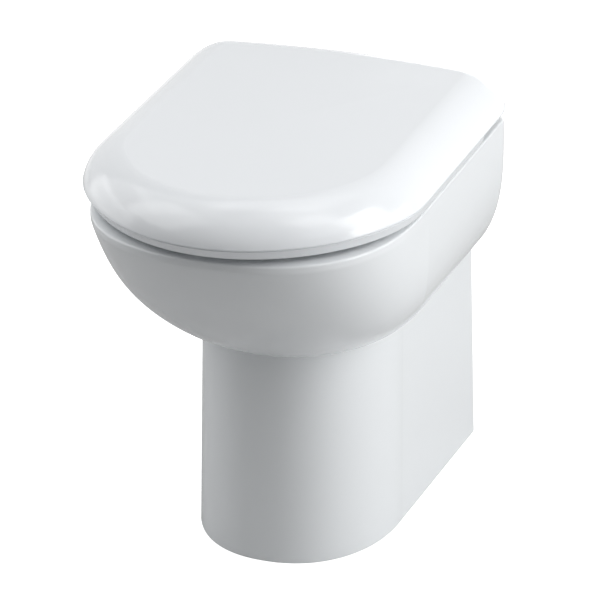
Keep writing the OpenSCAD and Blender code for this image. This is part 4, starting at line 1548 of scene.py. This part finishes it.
@dataclass
class Dee:
    """The D-shaped outline that seat and lid share. Millimetres."""

    half: float = 175.5
    front: float = 495.0
    widest: float = 332.0
    back: float = 42.5
    corner: float = 51.0
    bow: float = 9.0
    across: float = 1.95
    ahead: float = 1.81
    corner_round: float = 2.14
    tightest: float = 5.0

    def half_line(self, k: np.ndarray, inset: Number) -> np.ndarray:
        """The half outline in plan: k runs 0 to 1 in front, to 2 along the side, to 3 round the corner, to 4.

        Args:
            k: places along it.
            inset: how far inside the edge.
        Returns:
            Points as across and from the wall.
        """
        corner = np.maximum(self.corner - inset, self.tightest)
        half, back = self.half - inset, self.back + inset
        angle = np.clip(k, 0, 1) * math.pi / 2
        side, turn = np.clip(k - 1, 0, 1), np.clip(k - 2, 0, 1) * math.pi / 2
        rest = 1 - np.clip(k - 3, 0, 1)
        parts = [k <= 1, k <= 2, k <= 3]
        x = np.select(parts, [
            half * power(np.sin(angle), self.across), half + 0 * k,
            half - corner + corner * power(np.cos(turn), self.corner_round)], (half - corner) * rest)
        d = np.select(parts, [
            self.widest + (self.front - inset - self.widest) * power(np.cos(angle), self.ahead),
            mix(self.widest, back + corner, side),
            back + corner - corner * power(np.sin(turn), self.corner_round)], back - self.bow * (1 - rest**2))
        return np.stack([x, d], axis=-1)

    def places(self, pitch: float) -> np.ndarray:
        """Even places along the half outline.

        Args:
            pitch: the distance between them.
        Returns:
            The places.
        """
        return evenly(lambda v: self.half_line(v, 12.0), 0, 4, pitch)

    def ring(self, k: np.ndarray, inset: Number, z: float) -> np.ndarray:
        """A closed ring at a height.

        Args:
            k: places along the half outline.
            inset: how far inside the edge.
            z: its height.
        Returns:
            Points as across, from the wall and up.
        """
        return both_sides(at_height(self.half_line(k, inset), z)[None])[0][:-1]


@dataclass
class Seat:
    """The seat ring with its buffers and screws. Millimetres."""

    shop: Workshop
    line: Dee
    pitch: float = 3.6
    soft: float = 2.0
    low: float = 410.0
    edge: float = 7.7
    rise: float = 12.0
    inset: float = 2.0
    skirt: float = 4.0
    undercut: float = 8.0
    hole_half: float = 108.0
    hole_front: float = 424.0
    hole_back: float = 172.0
    hole_oval: float = 2.3
    # Where its buffers and screws are, on each side, as across and from the wall
    buffer_places: Profile = ((70.2, 447.5), (143.75, 167.0))
    screw_places: Profile = ((106.0, 152.0), (106.0, 138.0))
    buffer: float = 7.5
    buffer_z: float = 400.3
    screw_z: float = 404.2
    screw_len: float = 9.8

    def hole(self, k: np.ndarray, z: float) -> np.ndarray:
        """The ring of the seat's opening.

        Args:
            k: places along the outline.
            z: its height.
        Returns:
            Points as across, from the wall and up.
        """
        a = math.pi * k / 4
        middle, reach = (self.hole_front + self.hole_back) / 2, (self.hole_front - self.hole_back) / 2
        x = self.hole_half * power(np.sin(a), self.hole_oval)
        d = middle + np.sign(np.cos(a)) * reach * power(np.abs(np.cos(a)), self.hole_oval)
        return both_sides(at_height(np.stack([x, d], axis=-1), z)[None])[0][:-1]

    def section(self) -> list[tuple[float, float, float, float]]:
        """The ring in section, from its underside round the skirt and over the top to the opening.

        Returns:
            For each row: inset, share of the way to the opening, height, and share of the undercut.
        """
        low, foot, edge = self.low, self.low - self.skirt, self.low + self.edge
        rows = [(8.5, 0, low, 1), (6.6, 0, low, 1), (5.8, 0, low - 0.7, 1), (5.2, 0, foot + 0.9, 1),
                (4.5, 0, foot + 0.15, 1), (3.4, 0, foot, 1), (1.2, 0, foot, 1), (0.35, 0, foot + 0.25, 0.99),
                (0, 0, foot + 1.0, 0.92), (0, 0, mix(foot, edge, 0.35), 0.64),
                (0, 0, mix(foot, edge, 0.65), 0.34), (0, 0, edge - 1.4, 0.05), (0.12, 0, edge - 0.7, 0),
                (0.45, 0, edge - 0.25, 0), (1.1, 0, edge, 0), (3, 0, edge, 0), (4.8, 0, edge, 0)]
        top = edge + self.rise
        over = np.array([
            (6.2, 0, edge + 0.6), (7, 0.02, mix(edge, top, 0.35)), (7, 0.1, mix(edge, top, 0.7)),
            (7, 0.25, mix(edge, top, 0.93)), (7, 0.45, top - 0.3), (7, 0.65, top - 0.6),
            (7, 0.8, mix(edge, top, 0.8)), (7, 0.92, mix(edge, top, 0.5)), (7, 0.99, edge), (7, 1, edge - 2),
            (7, 1, low + 2.4), (7, 0.992, low + 0.7), (7, 0.97, low)])
        rows += [(*row, 0) for row in smooth_run(over, 5)]
        return rows + [(7, share, low, 0) for share in (0.9, 0.75, 0.6, 0.45, 0.32, 0.22)]

    def body(self) -> bpy.types.Object:
        """The seat ring, with a rounded top and a skirt that leans in towards the rim.

        Returns:
            The finished piece.
        """
        k = self.line.places(self.pitch)
        # The undercut is whole in the middle of the front and half as deep from the widest place back
        under = self.undercut * (1 + (1 - np.clip(k, 0, 1)) ** 0.7) / 2
        rings = [mix(self.line.ring(k, self.inset + i + u * under, z), self.hole(k, z), s)
                 for i, s, z, u in self.section()]
        solid = self.shop.solid().patch(soften(np.stack(rings), self.soft), around=True, loop=True)
        return weighted(solid.build("seat_body"))

    def build(self) -> None:
        """Builds and dresses the seat."""
        self.shop.dress(self.body(), Surface.DUROPLAST, "seat", "seat", "seat_ring")
        buffers(self.shop, "seat", mirrored(self.buffer_places, self.buffer_z), self.buffer,
                self.low - self.buffer_z)
        screws(self.shop, "seat", mirrored(self.screw_places, self.screw_z), self.screw_len)


@dataclass
class Lid:
    """The domed lid with its buffers and screws. Millimetres."""

    shop: Workshop
    line: Dee
    pitch: float = 3.4
    soft: float = 2.2
    low: float = 418.0
    high: float = 38.0
    shoulder: float = 43.5
    shoulder_round: float = 1.674
    wall: float = 4.0
    foot: float = 2.0
    foot_h: float = 2.2
    foot_in: float = 0.8
    edge_from: float = 5.0
    crown: float = 1.5
    ceiling: float = 451.0
    buffer_places: Profile = ((49.68, 431.5), (124.5, 275.5))
    screw_places: Profile = ((49.0, 109.0), (49.0, 95.0))
    buffer: float = 7.5
    buffer_z: float = 429.7
    screw_z: float = 445.7
    screw_len: float = 9.3

    def drawn(self, ring: np.ndarray, share: float, up: float) -> np.ndarray:
        """A ring drawn in towards the lid's middle.

        Args:
            ring: the ring.
            share: how much of its size is left.
            up: how far it is raised.
        Returns:
            The smaller ring.
        """
        centre = np.array([0.0, 0.8 * self.line.widest, ring[0, 2]])
        return mix(centre, ring, share) + [0, 0, up]

    def under_rows(self, k: np.ndarray) -> list[np.ndarray]:
        """The hollow underside, from its middle out, and round the foot of the edge.

        Args:
            k: places along the outline.
        Returns:
            Closed rings.
        """
        inner, depth = self.wall + self.foot, self.ceiling - self.low
        flat = self.line.ring(k, self.shoulder, self.ceiling)
        rows = [self.drawn(flat, s, 0.0) for s in (0.004, 0.1, 0.3, 0.5, 0.7, 0.85, 0.95)]
        for a in np.radians(np.linspace(90, 0, 25)):
            inset = mix(inner, self.shoulder, 1 - math.cos(a))
            rows.append(self.line.ring(k, inset, self.low + depth * math.sin(a)))
        rows.append(self.line.ring(k, inner - self.foot_in, self.low))
        for a in np.radians(np.linspace(0, 90, 7)):
            z = self.low + self.foot_h * (1 - math.cos(a))
            rows.append(self.line.ring(k, self.foot * (1 - math.sin(a)), z))
        return rows

    def top_rows(self, k: np.ndarray) -> list[np.ndarray]:
        """The soft shoulder and the faintly crowned top, from the edge to the middle.

        Args:
            k: places along the outline.
        Returns:
            Closed rings.
        """
        bend = 2 / self.shoulder_round
        rows = []
        for a in np.radians(mix(self.edge_from, 90.0, np.linspace(0, 1, 56))):
            rows.append(self.line.ring(k, self.shoulder * (1 - math.cos(a) ** bend),
                                       self.low + self.high * math.sin(a) ** bend))
        flat = self.line.ring(k, self.shoulder, self.low + self.high)
        for s in (0.985, 0.95, 0.9, 0.84, 0.77, 0.69, 0.6, 0.5, 0.4, 0.3, 0.2, 0.12, 0.06, 0.004):
            rows.append(self.drawn(flat, s, self.crown * (1 - s * s) ** 2))
        return rows

    def body(self) -> bpy.types.Object:
        """The lid's shell.

        Returns:
            The finished piece.
        """
        k = self.line.places(self.pitch)
        rings = soften(np.stack(self.under_rows(k) + self.top_rows(k)), self.soft)
        solid = self.shop.solid().patch(rings, around=True)
        solid.sheet(rings[0]).sheet(rings[-1])
        return weighted(solid.build("lid_body"))

    def build(self) -> None:
        """Builds and dresses the lid."""
        self.shop.dress(self.body(), Surface.DUROPLAST, "lid", "seat", "lid_shell")
        buffers(self.shop, "lid", mirrored(self.buffer_places, self.buffer_z), self.buffer,
                self.ceiling - self.buffer_z)
        screws(self.shop, "lid", mirrored(self.screw_places, self.screw_z), self.screw_len)


def mirrored(places: Profile, z: float) -> list[Place]:
    """Sets places on the left and on the right.

    Args:
        places: each as across and from the wall.
        z: their height.
    Returns:
        All places, left first.
    """
    return [(side * x, d, z) for side, _ in SIDES for x, d in places]


def buffers(shop: Workshop, owner: str, places: Sequence[Place], radius: float, height: float) -> None:
    """Moulded buffers with a flange and a domed foot.

    Args:
        shop: the workshop.
        owner: seat or lid.
        places: where each foot is.
        radius: the flange's radius.
        height: their height.
    """
    dome = [(radius * 0.72 * math.sin(a), 1.1 * (1 - math.cos(a))) for a in np.linspace(0, math.pi / 2, 8)]
    flat = rounded(dome + [(radius * 0.84, 1.9), (radius * 0.88, height - 2.4), (radius, height - 2.0),
                           (radius, height), (0, height)], 0.5, closed=False)
    one = shop.lathe("buffer", flat, (0, 0, 0), Axis.UP, 56, at_origin=True)
    made = shop.at_spots(f"{owner}_buffer_set", one, places, 0.5, Surface.BUFFER)
    shop.dress(made, Surface.BUFFER, owner, "buffer", f"{owner}_buffers")


def screws(shop: Workshop, owner: str, places: Sequence[Place], length: float) -> None:
    """Pan-head screws, head down, with a cross recess.

    Args:
        shop: the workshop.
        owner: seat or lid.
        places: where each head is.
        length: their whole length.
    """
    head, head_t, thread, thread_depth, half_pitch = 3.8, 1.8, 1.8, 0.35, 0.5
    flat = [(0, 0)] + [(head * math.sin(a), head_t / 2 * (1 - math.cos(a)))
                       for a in np.linspace(0.3, math.pi / 2, 7)]
    flat += [(head, head_t), (thread, head_t)]
    for i, z in enumerate(np.arange(head_t + 0.6, length - 1.5, half_pitch)):
        flat.append((thread - thread_depth * (i % 2), z))
    flat += [(thread - 0.3, length - 1.2), (0, length)]
    one = shop.lathe("screw", flat, (0, 0, 0), Axis.UP, 36, at_origin=True, sharp=30)
    tools = []
    for long, wide in ((4.2, 0.8), (0.8, 4.2)):
        slot = [(-wide / 2, -1), (wide / 2, -1), (wide / 2, 1.1), (-wide / 2, 1.1)]
        tools.append(shop.solid(at_origin=True).prism(slot, -long / 2, long).build("recess_tool"))
    made = shop.at_spots(f"{owner}_screw_set", drilled(one, tools, 30), places, 3.0, Surface.STEEL)
    shop.dress(made, Surface.STEEL, owner, "steel", f"{owner}_screws")


# ---------------------------------------------------------------- the studio


@dataclass(frozen=True)
class Lamp:
    """A soft white area lamp: its place and size in metres, and its power."""

    name: str
    place: Place
    size: tuple[float, float]
    watts: float

    def light(self, target: Place) -> bpy.types.Object:
        """Makes the lamp.

        Args:
            target: what it points at.
        Returns:
            The lamp's object.
        """
        data = bpy.data.lights.new(self.name, "AREA")
        data.shape = "RECTANGLE"
        data.size, data.size_y = self.size
        data.energy = self.watts
        lamp = bpy.data.objects.new(self.name, data)
        lamp.location = self.place
        lamp.rotation_euler = (Vector(target) - Vector(self.place)).to_track_quat("-Z", "Y").to_euler()
        bpy.context.scene.collection.objects.link(lamp)
        return lamp


@dataclass
class Studio:
    """The white room: backdrop, floor, lamps and camera. Metres and degrees, but the lens in millimetres."""

    lens: float = 249.84
    camera_place: Place = (1.40469, -3.54910, 2.07097)
    camera_turn: Place = (64.5173, 1.1410, 20.9146)
    target: Place = (0.0, 0.0, 0.25)
    ambient: float = 0.02
    floor_glow: float = 0.9
    floor_reach: float = 14.0
    paper: str = "#CCCCCC"
    shade_from: float = 0.8
    shade_to: float = 2.4
    lamps: tuple[Lamp, ...] = (
        Lamp("back_low", (0.000, 2.543, 0.800), (1.6, 1.0), 7.6),
        Lamp("left_front_mid", (-1.564, -0.903, 2.120), (1.7, 1.7), 15.3),
        Lamp("left_high", (-1.221, 0.000, 2.546), (1.6, 1.6), 7.9),
        Lamp("left_low", (-2.561, 0.000, 0.760), (2.3, 1.4), 13.1),
        Lamp("left_mid", (-2.130, 0.000, 1.741), (1.8, 1.4), 6.3),
        Lamp("right_back_low", (2.406, 0.876, 0.701), (1.0, 1.0), 12.7),
        Lamp("right_front_high", (1.249, -0.582, 2.455), (0.9, 0.9), 6.6),
        Lamp("right_front_mid", (1.844, -1.065, 1.741), (1.0, 1.0), 3.2),
        Lamp("right_low", (2.551, -0.223, 0.701), (1.0, 1.0), 19.0),
        Lamp("right_mid", (2.130, 0.000, 1.741), (1.2, 1.2), 19.8),
        Lamp("top", (0.185, -0.870, 2.693), (1.8, 1.0), 2.2),
        Lamp("top_back", (0.000, 0.629, 2.773), (1.6, 1.2), 7.2),
        Lamp("top_right", (0.541, 0.000, 2.793), (1.0, 1.0), 3.5),
    )

    def camera(self) -> None:
        """Makes the camera."""
        data = bpy.data.cameras.new("camera")
        data.lens, data.sensor_width = self.lens, 36.0
        data.clip_start, data.clip_end = 0.05, 100.0
        camera = bpy.data.objects.new("camera", data)
        camera.location = self.camera_place
        camera.rotation_euler = [math.radians(a) for a in self.camera_turn]
        bpy.context.scene.collection.objects.link(camera)
        bpy.context.scene.camera = camera

    def backdrop(self) -> None:
        """White behind the object and in its reflections, and a plain soft light from all round."""
        world = bpy.data.worlds.new("studio")
        bpy.context.scene.world = world
        world.use_nodes = True
        tree = world.node_tree
        tree.nodes.clear()
        white = add_node(tree, "ShaderNodeBackground", {"Color": srgb("#FFFFFF"), "Strength": 1.0})
        soft = add_node(tree, "ShaderNodeBackground", {"Color": srgb("#F6F9FF"), "Strength": self.ambient})
        both = add_node(tree, "ShaderNodeMixShader", {
            0: self.seen(tree), 1: soft.outputs[0], 2: white.outputs[0]})
        add_node(tree, "ShaderNodeOutputWorld", {"Surface": both.outputs[0]})

    @staticmethod
    def math_node(tree: bpy.types.NodeTree, operation: str, first: bpy.types.NodeSocket,
                  second: bpy.types.NodeSocket | float) -> bpy.types.NodeSocket:
        """Works out one value from two.

        Args:
            tree: the shader tree.
            operation: what is done with them.
            first: the first value's socket.
            second: the second value, or its socket.
        Returns:
            The result's socket.
        """
        return add_node(tree, "ShaderNodeMath", {0: first, 1: second}, operation=operation).outputs[0]

    def seen(self, tree: bpy.types.NodeTree) -> bpy.types.NodeSocket:
        """Tells the rays that see the room from those that only carry light.

        Args:
            tree: the shader tree.
        Returns:
            A socket that is 1 for camera, glossy and transmission rays.
        """
        rays = add_node(tree, "ShaderNodeLightPath").outputs
        first = self.math_node(tree, "MAXIMUM", rays["Is Camera Ray"], rays["Is Glossy Ray"])
        return self.math_node(tree, "MAXIMUM", first, rays["Is Transmission Ray"])

    def paper_material(self) -> bpy.types.Material:
        """Matt white paper that takes a shadow near the object and glows further off.

        Returns:
            The material.
        """
        made = bpy.data.materials.new("studio_paper")
        made.use_nodes = True
        tree = made.node_tree
        tree.nodes.clear()
        paper = add_node(tree, "ShaderNodeBsdfDiffuse", {"Color": srgb(self.paper)})
        where = add_node(tree, "ShaderNodeTexCoord")
        away = add_node(tree, "ShaderNodeVectorMath", {0: where.outputs["Object"]}, operation="LENGTH")
        far = add_node(tree, "ShaderNodeMapRange", {
            "Value": away.outputs["Value"], "From Min": self.shade_from, "From Max": self.shade_to},
            interpolation_type="SMOOTHSTEP")
        rays = add_node(tree, "ShaderNodeLightPath").outputs
        bright = self.math_node(tree, "MAXIMUM", far.outputs[0], rays["Is Camera Ray"])
        strength = self.math_node(tree, "MULTIPLY", bright, self.floor_glow)
        glow = add_node(tree, "ShaderNodeEmission", {"Color": srgb("#FFFFFF"), "Strength": strength})
        lit = add_node(tree, "ShaderNodeAddShader", {0: paper.outputs[0], 1: glow.outputs[0]})
        shown = add_node(tree, "ShaderNodeMixShader", {
            0: self.seen(tree), 1: paper.outputs[0], 2: lit.outputs[0]})
        add_node(tree, "ShaderNodeOutputMaterial", {"Surface": shown.outputs[0]})
        return made

    def floor(self) -> None:
        """Lays the paper on the floor."""
        far = self.floor_reach
        mesh = bpy.data.meshes.new("studio_floor")
        mesh.from_pydata([(-far, -far, 0), (far, -far, 0), (far, far, 0), (-far, far, 0)], [], [(0, 1, 2, 3)])
        mesh.materials.append(self.paper_material())
        floor = bpy.data.objects.new("studio_floor", mesh)
        bpy.context.scene.collection.objects.link(floor)

    def build(self) -> None:
        """Sets the whole studio up."""
        bpy.context.scene.view_settings.view_transform = "Standard"
        self.backdrop()
        self.floor()
        for lamp in self.lamps:
            lamp.light(self.target)
        self.camera()


def main() -> None:
    """Builds the pieces in order, sets up the studio and hands over to the frame."""
    logging.basicConfig(level=logging.INFO, format="%(name)s: %(message)s")
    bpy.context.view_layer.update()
    shop = Workshop.open()
    seat_line = Dee(back=123.0, corner=12.0, bow=0.0)
    for part in (Pan(shop), Fixings(shop), Hinges(shop), Seat(shop, seat_line), Lid(shop, Dee())):
        LOG.info("building %s", type(part).__name__)
        part.build()
    Studio().build()
    bpy.context.view_layer.update()


if __name__ == "__main__":
    main()
